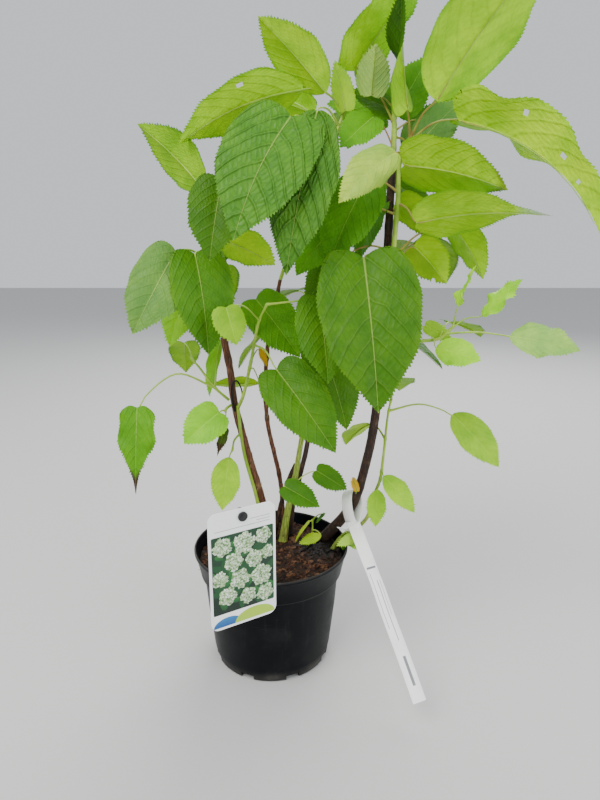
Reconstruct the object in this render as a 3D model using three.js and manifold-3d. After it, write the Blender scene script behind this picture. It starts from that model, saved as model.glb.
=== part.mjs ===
// A young smooth hydrangea in a two litre nursery pot, with a picture label on a stake and a strap tag.
// Millimetres, +Z up. The origin is the middle of the pot's flat underside, and -Y is the front.
import * as THREE from 'three';
import { mergeVertices } from 'three/addons/utils/BufferGeometryUtils.js';
import Module from 'manifold-3d';

const wasm = await Module();
wasm.setup();

const GAP = 0.3;

// Pot: a two litre container, 17 cm across at its lip
const POT_HEIGHT = 130;
const POT_LIP_RADIUS = 85;
const POT_FOOT_RADIUS = 64;
const POT_WALL = 1.8;
const POT_FLOOR = 2.5;
const RIM_BAND = 28;
const RIM_STEP = 3.6;
const RIM_TAPER = 6.5;
const DRAIN_HOLES = 8;
const DRAIN_SIZE = [12, 15, 7];
const SOIL_LEVEL = 118;
const CANE_FOOT = SOIL_LEVEL + GAP;

// Picture label: its middle, its turn about the upright, and its stake
const LABEL = { wide: 68, high: 118, thick: 1, corner: 8, hole: 2.6, holeDrop: 8 };
const LABEL_MIDDLE = [-21, -106, 162];
const LABEL_TURN = 31;
const STAKE = { wide: 5, head: 4.6, foot: [-14, -68, CANE_FOOT] };

// Strap tag: a plastic strip looped round the right cane, with its tail hanging outside the pot
const STRAP = { wide: 15, thick: 1, loop: [15, 20], tilt: 40, lean: 20, middle: [91, 18, 165] };
const STRAP_TAIL = [
  [91, 2.6, 153], [95, -9, 146], [104, -34, 128], [121, -68, 88], [135, -98, 56], [147, -124, 27],
];

// Leaf outline, on a blade of length 1 and width 1: along the midrib, out from it, and the
// point of the midrib that each point of the margin is joined to
const LEAF_MARGIN = [
  [-0.07, 0.14, 0], [-0.05, 0.31, 0.06], [0.1, 0.45, 0.16],
  [0.34, 0.49, 0.36], [0.62, 0.4, 0.62], [0.86, 0.16, 0.86],
];
const LEAF_THICKNESS = 1.3;
const STALK_RADIUS = 1.15;
const STALK_IN_BLADE = 0.2;
const STALK_ARCH = 0.14;

const degrees = Math.PI / 180;
const vector = (place) => new THREE.Vector3(...place);

// Canes: the woody limbs and the thick green shoots that rise out of the pot, foot first
const canes = {
  cane_left: { foot: 4.6, tip: 3.7, colour: 0x5a3a28,
    path: [[-3, 22, CANE_FOOT], [-11, 18, 173], [-26, 12, 235], [-38, 8, 291], [-41, 8, 323], [-47, 8, 359]] },
  cane_right: { foot: 5.6, tip: 3.6, colour: 0x3f2a20,
    path: [[60, 33, CANE_FOOT], [69, 30, 131], [79, 28, 144], [93, 24, 168], [104, 16, 214],
      [112, 8, 270], [116, 1, 370], [118, -2, 460], [120, -2, 537]] },
  cane_rear: { foot: 2.8, tip: 2, colour: 0x6b4a33,
    path: [[12, 55, CANE_FOOT], [9, 55, 179], [-6, 50, 263], [-4, 44, 340], [11, 38, 416]] },
  cane_centre: { foot: 3.4, tip: 2.4, colour: 0x33231b,
    path: [[20, 40, CANE_FOOT], [24, 37, 161], [39, 35, 227], [43, 36, 257], [48, 44, 300]] },
  cane_broken: { foot: 3, tip: 2.4, colour: 0x33231b,
    path: [[2, 38, CANE_FOOT], [10, 34, 161], [21, 30, 198], [27, 29, 212]] },
  shoot_centre: { foot: 4.4, tip: 2.6, colour: 0x9dae5c,
    path: [[12, 27, CANE_FOOT], [18, 23, 158], [26, 19, 197], [32, 14, 236], [36, 10, 262]] },
  shoot_low: { foot: 2.6, tip: 1.7, colour: 0xa9b96a,
    path: [[70, 9, CANE_FOOT], [77, 11, 129], [87, 13, 137], [100, 16, 143], [109, 19, 153],
      [113, 17, 172], [118, 2, 200]] },
};

// Masses of foliage. Each has one stem, which starts just clear of the limb that bears it.
// A leaf is: height on the stem, aim, length and lift of its stalk, length and width of its blade,
// its heading and dip, its roll, and how far it curls back, and the arch of the stalk where it is
// higher than most. Angles are in degrees, with 0 to the right, 90 to the back and -90 to the
// front. Below the leaves that face the front, 'unseen' gives the rule for the far side.
const masses = {
  foliage_left: { foot: 2.4, tip: 1.3, colour: 0x6d9a45,
    path: [[-47.4, 7.3, 359.9], [-55, -6, 405], [-60, -18, 445], [-55, -22, 480], [-48, -24, 506]],
    leaves: [
      [440, -143, 30, 12, 90, 64, -132, -54, -48, 30],
      [442, -104, 21, 5, 95, 62, -56, -77, 8, 30],
      [500, -60, 26, 17, 74, 54, -118, -72, -28, 30],
      [505, -115, 16, -15, 84, 50, 167, 43, 62, 25],
      [470, 30, 28, -32, 52, 44, 20, -26, -50, 20],
      [405, 156, 25, 32, 72, 46, -147, -66, -40, 25],
    ],
    unseen: { from: 385, to: 500, seed: 11, size: 88, spread: [35, 165] } },
  foliage_stalk: { foot: 1.9, tip: 1.1, colour: 0x7fae4a,
    path: [[-33.5, 3.9, 285], [-27, -6, 300], [-18, -10, 336], [-8, -18, 380], [0, -22, 396]],
    leaves: [
      [380, -120, 56, 18, 36, 34, -52, -64, 20, 20],
      [368, 99, 35, 72, 76, 54, -27, -48, 45, 20],
      [355, -56, 46, -23, 98, 60, -31, -48, 45, 25],
      [396, -29, 58, 8, 80, 54, -74, -70, 10, 25],
      [336, 45, 18, 50, 20, 11, -16, -67, 20, 10],
      [330, 84, 57, -29, 54, 28, -167, 1, 40, 20],
    ] },
  foliage_upper_left: { foot: 2, tip: 1.4, colour: 0x78a552,
    path: [[11.3, 37.9, 416.7], [30, 25, 470], [54, 8, 525], [67, 0, 556], [74, 6, 574]],
    leaves: [
      [570, -126, 33, 25, 86, 46, -144, 34, 42, 30],
      [575, -144, 50, 15, 126, 56, -167, -24, 40, 45],
      [545, 164, 65, 40, 90, 50, -173, -25, 40, 30],
      [530, 148, 81, 38, 62, 38, -174, -35, 40, 25],
      [560, 126, 45, 23, 52, 38, 174, 19, 50, 20],
      [540, -125, 66, 17, 121, 84, -145, -60, -50, 30],
      [560, -115, 56, 7, 150, 68, -127, -72, -28, 30],
      [574, -90, 13, -8, 42, 26, -129, 65, 0, 10],
    ],
    unseen: { from: 440, to: 590, seed: 23, size: 96, spread: [25, 160] } },
  foliage_centre: { foot: 2.6, tip: 1.4, colour: 0x5f8f3c,
    path: [[36.2, 9.8, 262.6], [40, 8, 280], [52, 5, 320], [64, 6, 370], [70, 10, 415]],
    leaves: [
      [340, -106, 34, 42, 96, 62, -38, -68, 25, 25],
    ],
    unseen: { from: 330, to: 420, seed: 5, size: 88, spread: [40, 170] } },
  foliage_right: { foot: 3, tip: 1.8, colour: 0x86b44a,
    path: [[120, -6.5, 392], [122, -10, 436], [125, -10, 493], [126, -10, 530], [134, -10, 547]],
    leaves: [
      [430, -128, 53, 12, 143, 98, -76, -70, 12, 25],
      [528, -106, 26, 9, 80, 42, -149, -36, -50, 50],
      [500, -171, 33, 16, 84, 62, -156, -63, -40, 25],
      [480, 171, 50, 0, 76, 56, -161, -49, -45, 25],
      [445, 160, 43, 0, 68, 50, -167, -47, -40, 25],
      [547, -52, 40, 44, 134, 94, -47, 44, -18, 25],
      [544, -26, 49, 19, 170, 76, -29, -39, -28, 60],
      [528, -75, 11, -25, 98, 68, -26, -15, -45, 30],
      [547, -113, 28, 54, 90, 42, -111, 64, 55, 20],
      [490, -44, 28, -39, 120, 64, -23, 2, -35, 30],
      [440, -14, 70, 30, 62, 52, -29, -57, -50, 30],
      [425, 39, 41, 39, 50, 50, -18, -47, -60, 20],
    ],
    unseen: { from: 410, to: 540, seed: 37, size: 94, spread: [15, 150] } },
  foliage_top: { foot: 2.8, tip: 1.4, colour: 0x86b53c,
    path: [[120, -2, 537.5], [120, -3, 560], [117, -5, 582]],
    leaves: [
      [561, -172, 59, 48, 94, 62, -32, 43, -12, 25],
      [575, -156, 25, 19, 42, 32, -89, 58, -70, 15],
      [560, 93, 16, 55, 46, 32, -173, 22, -60, 15],
      [540, -160, 34, 50, 48, 36, -147, -38, -50, 15],
      [555, 36, 50, 12, 54, 44, 0, 28, -50, 20],
      [550, 29, 25, -24, 62, 50, 3, 45, 60, 20],
    ],
    unseen: { from: 545, to: 582, seed: 41, size: 92, spread: [20, 170] } },
  foliage_right_low: { foot: 1.7, tip: 1.1, colour: 0x9ac257,
    path: [[119.1, -2.3, 351], [145, -12, 358], [171, -15, 362], [183, -18, 374]],
    leaves: [
      [367, -18, 60, 0, 64, 38, -24, -9, 50, 20],
      [360, -92, 22, -12, 44, 34, -24, -12, 50, 20],
      [370, -15, 34, 26, 50, 26, -28, 47, 50, 15],
      [374, -59, 21, 77, 42, 20, -35, 69, 60, 15],
      [357, 19, 25, 41, 30, 18, -15, -28, 60, 15],
      [362, 60, 36, 20, 62, 42, 40, -20, 0, 20],
    ] },
  foliage_low: { foot: 1.7, tip: 1.1, colour: 0xa3c763,
    path: [[118.1, 1.7, 200.5], [119, -1, 206], [122, 1, 235], [126, 9, 274], [129, 10, 292]],
    leaves: [
      [280, -5, 67, -2, 74, 40, -23, -45, 50, 30],
      [215, -90, 16, 4, 50, 26, -25, -45, 40, 25],
      [206, -111, 14, -30, 40, 22, -102, -75, 0, 15],
      [292, 75, 34, 30, 66, 44, 75, -25, 0, 25],
      [250, 120, 30, 20, 60, 40, 120, -40, 0, 25],
    ] },
  foliage_back: { foot: 2.4, tip: 1.3, colour: 0x587f38,
    path: [[48.1, 44.3, 300.7], [52, 60, 350], [58, 74, 420], [66, 76, 490], [70, 72, 520]],
    leaves: [],
    unseen: { from: 325, to: 520, seed: 53, size: 90, spread: [-20, 200] } },
  foliage_left_low: { foot: 1.5, tip: 1, colour: 0x7aa53c,
    path: [[-43.5, 9, 292], [-58, 8, 306], [-74, 4, 330], [-82, 2, 340]],
    leaves: [
      [306, -160, 82, -10, 90, 42, -94, -76, -10, 20, 0.3],
      [336, 120, 30, 30, 58, 36, 100, -45, 0, 20],
      [306, 75, 52, 66, 63, 30, -144, -75, 0, 20],
    ] },
  leaf_left_small: { foot: 1.2, tip: 1, colour: 0xa0bf5c,
    path: [[-40.5, 4.7, 288], [-44, -3, 287], [-46, -8, 285]],
    leaves: [
      [285, -130, 8, 0, 48, 44, -153, -36, -48, 20],
      [286, -90, 20, -60, 32, 16, -160, -72, -60, 30],
    ] },
  leaf_left_hanging: { foot: 1.2, tip: 1, colour: 0xb2c66a,
    path: [[-33.1, 6, 255], [-38, 0, 250], [-40, -4, 240]],
    leaves: [
      [240, -125, 8, -50, 58, 34, -129, -77, -30, 15],
    ] },
  leaf_centre_low: { foot: 1.2, tip: 1, colour: 0x9abb55,
    path: [[22, 16, 178], [21, 8, 190], [18, -2, 200]],
    leaves: [
      [200, -111, 8, 10, 44, 28, -20, -24, 45, 20],
      [190, 10, 36, 35, 40, 26, -9, -31, 60, 20],
    ] },
  leaf_basal: { foot: 1.2, tip: 0.9, colour: 0xb9c24e,
    path: [[44, 22, CANE_FOOT], [46, 18, 135], [46, 15, 150]],
    leaves: [
      [149, -149, 4, 0, 28, 18, -149, -48, 30, 15],
      [150, -20, 18, 36, 14, 11, -150, -40, 20, 10],
    ] },
  leaf_rim: { foot: 1.2, tip: 0.9, colour: 0xb4c77a,
    path: [[74, 6.7, 126], [76, 2, 131], [79, -2, 136]],
    leaves: [
      [135, -30, 4, 0, 28, 16, -30, -10, 0, 10],
    ] },
};

// A closed shape as a solid: only its points are kept, merged, without the flat triangles of a pole
function solidOf(geometry) {
  const bare = geometry.index ? geometry.toNonIndexed() : geometry.clone();
  bare.deleteAttribute('normal');
  bare.deleteAttribute('uv');
  const merged = mergeVertices(bare, 1e-4);
  const corners = merged.index.array;
  const kept = [];
  for (let i = 0; i < corners.length; i += 3) {
    const [a, b, c] = corners.slice(i, i + 3);
    if (a !== b && b !== c && c !== a) kept.push(a, b, c);
  }
  const points = new Float32Array(merged.attributes.position.array);
  if (signedVolume(points, kept) < 0) kept.reverse();
  return new wasm.Manifold(new wasm.Mesh({
    numProp: 3, vertProperties: points, triVerts: new Uint32Array(kept),
  }));
}

function signedVolume(points, corners) {
  const at = (k) => new THREE.Vector3().fromArray(points, corners[k] * 3);
  let sum = 0;
  for (let i = 0; i < corners.length; i += 3) sum += at(i).dot(at(i + 1).cross(at(i + 2)));
  return sum;
}

function meshOf(name, solid, colour, roughness = 0.6, metalness = 0) {
  const { vertProperties, triVerts } = solid.getMesh();
  const geometry = new THREE.BufferGeometry();
  geometry.setAttribute('position', new THREE.BufferAttribute(new Float32Array(vertProperties), 3));
  geometry.setIndex(new THREE.BufferAttribute(new Uint32Array(triVerts), 1));
  geometry.computeVertexNormals();
  const material = new THREE.MeshStandardMaterial({ color: colour, roughness, metalness });
  const mesh = new THREE.Mesh(geometry, material);
  mesh.name = name;
  return mesh;
}

// A limb is a closed tapering cylinder bent along a curve. A foot that stands on the soil is cut level.
function limbGeometry(curve, footRadius, tipRadius, sides, steps, flare = 0, levelFoot = false) {
  const geometry = new THREE.CylinderGeometry(1, 1, 1, sides, steps);
  const frames = curve.computeFrenetFrames(steps);
  const spots = geometry.attributes.position;
  for (let i = 0; i < spots.count; i += 1) {
    const t = spots.getY(i) + 0.5;
    const step = Math.round(t * steps);
    const radius = THREE.MathUtils.lerp(footRadius, tipRadius, t) * (1 + flare * Math.exp(-12 * t));
    const place = curve.getPointAt(t)
      .addScaledVector(frames.normals[step], spots.getX(i) * radius)
      .addScaledVector(frames.binormals[step], -spots.getZ(i) * radius);
    if (levelFoot && step === 0) {
      const run = (curve.getPointAt(0).z - place.z) / frames.tangents[0].z;
      place.addScaledVector(frames.tangents[0], run);
    }
    spots.setXYZ(i, place.x, place.y, place.z);
  }
  return geometry;
}

// The unit direction with a given heading and rise
function direction(heading, rise) {
  const flat = Math.cos(rise * degrees);
  return new THREE.Vector3(
    flat * Math.cos(heading * degrees), flat * Math.sin(heading * degrees), Math.sin(rise * degrees));
}

// A blade is a thin closed lens about a midrib that curls back, with both halves folded up a little
function bladeGeometry(base, { long, wide, heading, dip, roll, curl, fold = 14 }) {
  const along = direction(heading, dip);
  const up = direction(heading, dip + 90).applyAxisAngle(along, roll * degrees);
  const side = new THREE.Vector3().crossVectors(along, up);
  const bend = curl * degrees;
  const reach = long / bend;
  const place = (run, out, lift) => {
    const angle = bend / 2 - bend * run;
    const height = reach * (Math.cos(angle) - Math.cos(bend / 2));
    const normal = along.clone().multiplyScalar(-Math.sin(angle)).addScaledVector(up, Math.cos(angle));
    return base.clone()
      .addScaledVector(along, reach * (Math.sin(bend / 2) - Math.sin(angle)))
      .addScaledVector(up, height)
      .addScaledVector(side, out * wide * Math.cos(fold * degrees))
      .addScaledVector(normal, Math.abs(out) * wide * Math.sin(fold * degrees) + lift);
  };
  const half = Math.max(LEAF_THICKNESS, long / 90) / 2;
  const points = [];
  const add = (...where) => points.push(place(...where)) - 1;
  const heel = add(0, 0, 0);
  const tip = add(1, 0, 0);
  const rows = LEAF_MARGIN.map(([run, out, midrib]) => {
    const thick = half * (1 - 0.6 * midrib);
    const right = add(run, out, 0);
    const left = add(run, -out, 0);
    if (midrib === 0) return { right, left, top: heel, under: heel };
    return { right, left, top: add(midrib, 0, thick), under: add(midrib, 0, -thick) };
  });
  rows.push({ right: tip, left: tip, top: tip, under: tip });
  const corners = [];
  const face = (a, b, c) => {
    if (a !== b && b !== c && c !== a) corners.push(a, b, c);
  };
  for (let i = 0; i + 1 < rows.length; i += 1) {
    const near = rows[i];
    const far = rows[i + 1];
    for (const [edge, ridge] of [['right', 'top'], ['under', 'right'], ['left', 'under'], ['top', 'left']]) {
      face(near[edge], far[edge], far[ridge]);
      face(near[edge], far[ridge], near[ridge]);
    }
  }
  const geometry = new THREE.BufferGeometry();
  const spots = new Float32Array(points.flatMap((point) => point.toArray()));
  geometry.setAttribute('position', new THREE.BufferAttribute(spots, 3));
  geometry.setIndex(corners);
  return geometry;
}

// A leaf's stalk rises from its stem in a low arch and runs on under the blade as its midrib
function leafParts(stem, row) {
  const [height, aim, stalk, lift, long, wide, heading, dip, roll, curl, arching = STALK_ARCH] = row;
  const root = placeAtHeight(stem, height);
  const base = root.clone().addScaledVector(direction(aim, lift), stalk);
  const arch = root.clone().lerp(base, 0.5).add(new THREE.Vector3(0, 0, stalk * arching));
  const run = direction(heading, dip + curl / 2);
  const inBlade = base.clone().addScaledVector(run, long * STALK_IN_BLADE);
  const stalkCurve = new THREE.CatmullRomCurve3([root, arch, base, inBlade]);
  const parts = [
    limbGeometry(stalkCurve, STALK_RADIUS, STALK_RADIUS * 0.55, 3, 3),
    bladeGeometry(base, { long, wide, heading, dip, roll, curl }),
  ];
  return { parts, root, base, tip: base.clone().addScaledVector(direction(heading, dip), long * 0.98), wide };
}

// The point of a rising stem at a given height
function placeAtHeight(stem, height) {
  const rising = stem.at(-1).z > stem[0].z;
  const sorted = rising ? stem : [...stem].reverse();
  const upper = sorted.findIndex((place) => place.z >= height);
  if (upper === -1) return sorted.at(-1).clone();
  if (upper === 0) return sorted[0].clone();
  const low = sorted[upper - 1];
  return low.clone().lerp(sorted[upper], (height - low.z) / (sorted[upper].z - low.z));
}

// The same run of numbers between 0 and 1 for the same seed
function randomFrom(seed) {
  let state = seed * 7919;
  const next = () => {
    state = (state * 48271) % 2147483647;
    return state / 2147483647;
  };
  next();
  return next;
}

// Leaves of the far side: pairs up the stem, each pair a quarter turn from the one below it
const PAIR_STEP = 17;
function unseenRows({ from, to, seed, size, spread }) {
  const random = randomFrom(seed);
  const between = (low, high) => low + (high - low) * random();
  const rows = [];
  let turn = between(0, 90);
  for (let height = from; height <= to; height += PAIR_STEP) {
    for (const half of [0, 180]) {
      const aim = ((turn + half + between(-20, 20) + 180) % 360) - 180;
      const row = [
        height, aim, between(34, 74), between(12, 46), size * between(0.8, 1.12), 0,
        aim + between(-30, 30), between(-58, -12), between(-15, 15), between(18, 38),
      ];
      row[5] = row[4] * between(0.6, 0.72);
      const swing = aim < spread[0] - 90 ? aim + 360 : aim;
      if (swing >= spread[0] && swing <= spread[1]) rows.push(row);
    }
    turn += 90;
  }
  return rows;
}

// Balls along a leaf stand for it where leaves are kept apart: some in its blade, some in its stalk.
// Every ball knows its mass, as a stalk may run close to the stem and stalks of its own mass only.
const BLADE_BALLS = [0.1, 0.4, 0.7, 0.95];
const STALK_BALLS = [0.3, 0.6, 0.9];
const BALL_SIZE = 0.2;
const STALK_BALL = 3;
const LIMB_CLEARANCE = 9;
const MASS_CLEARANCE = 9;
function ballsOf({ root, base, tip, wide }, owner) {
  const blade = BLADE_BALLS.map((t) => ({ middle: base.clone().lerp(tip, t), radius: wide * BALL_SIZE }));
  const stalk = STALK_BALLS.map((t) => ({ middle: root.clone().lerp(base, t), radius: STALK_BALL, owner }));
  return [...blade.map((ball) => ({ ...ball, owner, blade: true })), ...stalk];
}

function isClear(balls, taken) {
  return balls.every((a) => taken.every((b) => {
    const own = a.owner === b.owner;
    if (own && !(a.blade && b.blade)) return true;
    return a.middle.distanceTo(b.middle) > a.radius + b.radius + (own || !b.owner ? 0 : MASS_CLEARANCE);
  }));
}

const group = new THREE.Group();
const taken = [];

for (const [name, { path, foot, tip, colour }] of Object.entries(canes)) {
  const curve = new THREE.CatmullRomCurve3(path.map(vector));
  const flare = foot > 4 ? 0.25 : 0;
  group.add(meshOf(name, solidOf(limbGeometry(curve, foot, tip, 8, 14, flare, true)), colour, 0.75));
  for (const middle of curve.getSpacedPoints(40)) taken.push({ middle, radius: LIMB_CLEARANCE });
}

const shown = {};
for (const [name, { path, leaves }] of Object.entries(masses)) {
  const stem = new THREE.CatmullRomCurve3(path.map(vector)).getSpacedPoints(40);
  shown[name] = leaves.map((row) => leafParts(stem, row));
  for (const middle of stem) taken.push({ middle, radius: STALK_BALL, owner: name });
  for (const leaf of shown[name]) taken.push(...ballsOf(leaf, name));
}

for (const [name, { path, foot, tip, colour, unseen }] of Object.entries(masses)) {
  const curve = new THREE.CatmullRomCurve3(path.map(vector));
  const stem = curve.getSpacedPoints(40);
  const leaves = [...shown[name]];
  for (const row of unseen ? unseenRows(unseen) : []) {
    const leaf = leafParts(stem, row);
    const balls = ballsOf(leaf, name);
    if (!isClear(balls, taken)) continue;
    taken.push(...balls);
    leaves.push(leaf);
  }
  const pieces = leaves.flatMap((leaf) => leaf.parts).map(solidOf);
  const solid = wasm.Manifold.union([solidOf(limbGeometry(curve, foot, tip, 6, 8)), ...pieces]);
  group.add(meshOf(name, solid, colour, 0.55));
}

// Pot, open at the top, with drain holes through the edge of its foot
function potSolid() {
  const bandFoot = POT_HEIGHT - RIM_BAND;
  const bandRadius = POT_LIP_RADIUS - RIM_TAPER;
  const outer = [
    [0, 0], [POT_FOOT_RADIUS - 2, 0], [POT_FOOT_RADIUS, 2], [bandRadius - RIM_STEP, bandFoot - 2],
    [bandRadius, bandFoot], [POT_LIP_RADIUS - 0.8, POT_HEIGHT - 1], [POT_LIP_RADIUS, POT_HEIGHT],
  ];
  const inner = [
    [POT_LIP_RADIUS - POT_WALL, POT_HEIGHT], [bandRadius - POT_WALL, bandFoot + 1],
    [bandRadius - RIM_STEP - POT_WALL, bandFoot - 3], [POT_FOOT_RADIUS - POT_WALL, POT_FLOOR], [0, POT_FLOOR],
  ];
  const profile = [...outer, ...inner].map(([radius, height]) => new THREE.Vector2(radius, height));
  let pot = solidOf(new THREE.LatheGeometry(profile, 48).rotateX(90 * degrees));
  for (let i = 0; i < DRAIN_HOLES; i += 1) {
    const hole = new THREE.BoxGeometry(...DRAIN_SIZE);
    hole.translate(POT_FOOT_RADIUS - 2, 0, DRAIN_SIZE[2] / 2 - 0.5);
    pot = pot.subtract(solidOf(hole.rotateZ((i + 0.5) * (360 / DRAIN_HOLES) * degrees)));
  }
  return pot;
}

// Potting mix, filling the pot to a finger's width below the lip
function soilSolid() {
  const bandFoot = POT_HEIGHT - RIM_BAND;
  const bandRadius = POT_LIP_RADIUS - RIM_TAPER - POT_WALL - 1;
  const slope = RIM_TAPER / RIM_BAND;
  const foot = POT_FLOOR + 0.5;
  const top = bandRadius + slope * (SOIL_LEVEL - bandFoot - 3);
  const profile = [
    [0, foot], [POT_FOOT_RADIUS - POT_WALL - 1, foot], [bandRadius - RIM_STEP, bandFoot - 4],
    [bandRadius, bandFoot + 2], [top, SOIL_LEVEL - 1], [top - 1.5, SOIL_LEVEL], [0, SOIL_LEVEL],
  ];
  const points = profile.map(([radius, height]) => new THREE.Vector2(radius, height));
  return solidOf(new THREE.LatheGeometry(points, 40).rotateX(90 * degrees));
}

// Card with round corners and a hole, and the stake that passes through the hole with its pin
function labelOutline() {
  const { wide, high, corner } = LABEL;
  const outline = new THREE.Shape();
  const [x, y] = [wide / 2, high / 2];
  outline.moveTo(-x + corner, -y);
  outline.lineTo(x - corner, -y);
  outline.absarc(x - corner, -y + corner, corner, -Math.PI / 2, 0);
  outline.lineTo(x, y - corner);
  outline.absarc(x - corner, y - corner, corner, 0, Math.PI / 2);
  outline.lineTo(-x + corner, y);
  outline.absarc(-x + corner, y - corner, corner, Math.PI / 2, Math.PI);
  outline.lineTo(-x, -y + corner);
  outline.absarc(-x + corner, -y + corner, corner, Math.PI, Math.PI * 1.5);
  const hole = new THREE.Path();
  hole.absarc(0, y - LABEL.holeDrop, LABEL.hole, 0, 2 * Math.PI, true);
  outline.holes.push(hole);
  return outline;
}

const labelTurn = new THREE.Matrix4()
  .makeTranslation(...LABEL_MIDDLE)
  .multiply(new THREE.Matrix4().makeRotationZ(LABEL_TURN * degrees))
  .multiply(new THREE.Matrix4().makeRotationX(90 * degrees));

function labelSolid() {
  const settings = { depth: LABEL.thick, bevelEnabled: false, curveSegments: 8 };
  const card = new THREE.ExtrudeGeometry(labelOutline(), settings);
  return solidOf(card.applyMatrix4(labelTurn));
}

function stakeSolid() {
  const { head } = STAKE;
  const holeHeight = LABEL.high / 2 - LABEL.holeDrop;
  const pinRadius = LABEL.hole - GAP - 0.1;
  const pin = new THREE.CylinderGeometry(pinRadius, pinRadius, 9, 12).rotateX(90 * degrees);
  pin.translate(0, holeHeight, -1);
  const button = new THREE.CylinderGeometry(head, head, 1.6, 16).rotateX(90 * degrees);
  button.translate(0, holeHeight, LABEL.thick + GAP + 0.8);
  const behind = -STAKE.wide / 2 - 0.6;
  const top = new THREE.Vector3(0, holeHeight + 6, behind).applyMatrix4(labelTurn);
  const bend = new THREE.Vector3(0, holeHeight - 30, behind - 3).applyMatrix4(labelTurn);
  const shaft = new THREE.CatmullRomCurve3([vector(STAKE.foot), bend, top]);
  const stake = solidOf(limbGeometry(shaft, STAKE.wide / 2, STAKE.wide / 2, 8, 10, 0, true));
  return stake.add(solidOf(pin.applyMatrix4(labelTurn))).add(solidOf(button.applyMatrix4(labelTurn)));
}

// Strap tag: a closed band round the cane, with the tail running out of it and down
function strapSolid() {
  const { wide, thick, loop, tilt, lean, middle } = STRAP;
  const [across, deep] = loop;
  const outer = new THREE.Shape().absellipse(0, 0, across, deep, 0, 2 * Math.PI);
  outer.holes.push(new THREE.Path().absellipse(0, 0, across - thick, deep - thick, 0, 2 * Math.PI, true));
  const band = new THREE.ExtrudeGeometry(outer, { depth: wide, bevelEnabled: false, curveSegments: 14 });
  band.translate(0, 0, -wide / 2).rotateX(tilt * degrees).rotateY(lean * degrees).translate(...middle);
  return solidOf(band).add(solidOf(tailGeometry(wide, thick)));
}

// A flat strip along the tail's route, its width held level
function tailGeometry(wide, thick) {
  const curve = new THREE.CatmullRomCurve3(STRAP_TAIL.map(vector));
  const steps = 12;
  const geometry = new THREE.BoxGeometry(wide, thick, 1, 1, 1, steps);
  const spots = geometry.attributes.position;
  for (let i = 0; i < spots.count; i += 1) {
    const t = spots.getZ(i) + 0.5;
    const tangent = curve.getTangentAt(t);
    const across = new THREE.Vector3(-tangent.y, tangent.x, 0).normalize();
    const normal = new THREE.Vector3().crossVectors(tangent, across);
    const place = curve.getPointAt(t)
      .addScaledVector(across, spots.getX(i))
      .addScaledVector(normal, spots.getY(i));
    spots.setXYZ(i, place.x, place.y, place.z);
  }
  return geometry;
}

group.add(meshOf('pot', potSolid(), 0x14161c, 0.45));
group.add(meshOf('potting_mix', soilSolid(), 0x4a2c20, 0.95));
group.add(meshOf('label_card', labelSolid(), 0xf2f2ee, 0.4));
group.add(meshOf('label_stake', stakeSolid(), 0x16171a, 0.45));
group.add(meshOf('strap_tag', strapSolid(), 0xf4f4f2, 0.45));

export default group;
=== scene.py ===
import math

import bpy
import numpy as np
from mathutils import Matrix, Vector, noise


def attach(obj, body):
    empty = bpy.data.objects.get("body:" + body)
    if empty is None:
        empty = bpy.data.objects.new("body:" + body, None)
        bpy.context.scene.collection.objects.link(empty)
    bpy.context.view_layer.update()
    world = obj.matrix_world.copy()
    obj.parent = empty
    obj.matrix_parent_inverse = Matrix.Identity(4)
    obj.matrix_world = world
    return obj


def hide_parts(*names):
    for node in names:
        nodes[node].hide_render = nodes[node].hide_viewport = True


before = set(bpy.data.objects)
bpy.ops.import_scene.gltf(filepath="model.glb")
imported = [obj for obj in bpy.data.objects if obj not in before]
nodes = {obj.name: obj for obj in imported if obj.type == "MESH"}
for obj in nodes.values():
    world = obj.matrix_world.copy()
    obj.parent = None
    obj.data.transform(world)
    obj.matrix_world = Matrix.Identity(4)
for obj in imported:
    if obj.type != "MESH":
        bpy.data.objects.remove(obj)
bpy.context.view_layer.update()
scene = bpy.context.scene
mm = 0.001
print("frame loaded:", len(nodes), "nodes")


def newObject(name, data):
    piece = bpy.data.objects.new(name, data)
    scene.collection.objects.link(piece)
    return piece


# Smooth faces, with an edge kept sharp where they turn by more than the angle
def soften(mesh, angle=60):
    mesh.polygons.foreach_set("use_smooth", [True] * len(mesh.polygons))
    mesh.set_sharp_from_angle(angle=math.radians(angle))


# Camera at the photograph's place, looking down a little
cameraView = {"place": (0.032, -0.609, 0.452), "tilt": 75.5, "lens": 27, "sensor": 36}
cameraData = bpy.data.cameras.new("camera")
cameraData.lens = cameraView["lens"]
cameraData.sensor_width = cameraView["sensor"]
camera = newObject("camera", cameraData)
camera.location = cameraView["place"]
camera.rotation_euler = (math.radians(cameraView["tilt"]), 0, 0)
scene.camera = camera


# A colour as seen on a screen, 0 to 255, turned into the one a shader takes
def paint(red, green, blue):
    return tuple(((c / 255 + 0.055) / 1.055) ** 2.4 for c in (red, green, blue))


def blend(low, high, share):
    return tuple(a + (b - a) * share for a, b in zip(low, high))


# A smooth curve through points, the same as in the part's source
def routePoint(points, t):
    last = len(points) - 1
    k = min(int(last * t), last - 1)
    weight = last * t - k
    start, end = points[k], points[k + 1]
    before = points[k - 1] if k > 0 else 2 * points[0] - points[1]
    after = points[k + 2] if k + 2 <= last else 2 * points[last] - points[last - 1]
    gaps = [((b - a) @ (b - a)) ** 0.25 for a, b in ((before, start), (start, end), (end, after))]
    middle = gaps[1] if gaps[1] >= 1e-4 else 1.0
    first, third = (g if g >= 1e-4 else middle for g in (gaps[0], gaps[2]))
    leave = ((start - before) / first - (end - before) / (first + middle) + (end - start) / middle) * middle
    arrive = ((end - start) / middle - (after - start) / (middle + third) + (after - end) / third) * middle
    square = 3 * (end - start) - 2 * leave - arrive
    cube = 2 * (start - end) + leave + arrive
    return start + leave * weight + square * weight**2 + cube * weight**3


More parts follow.
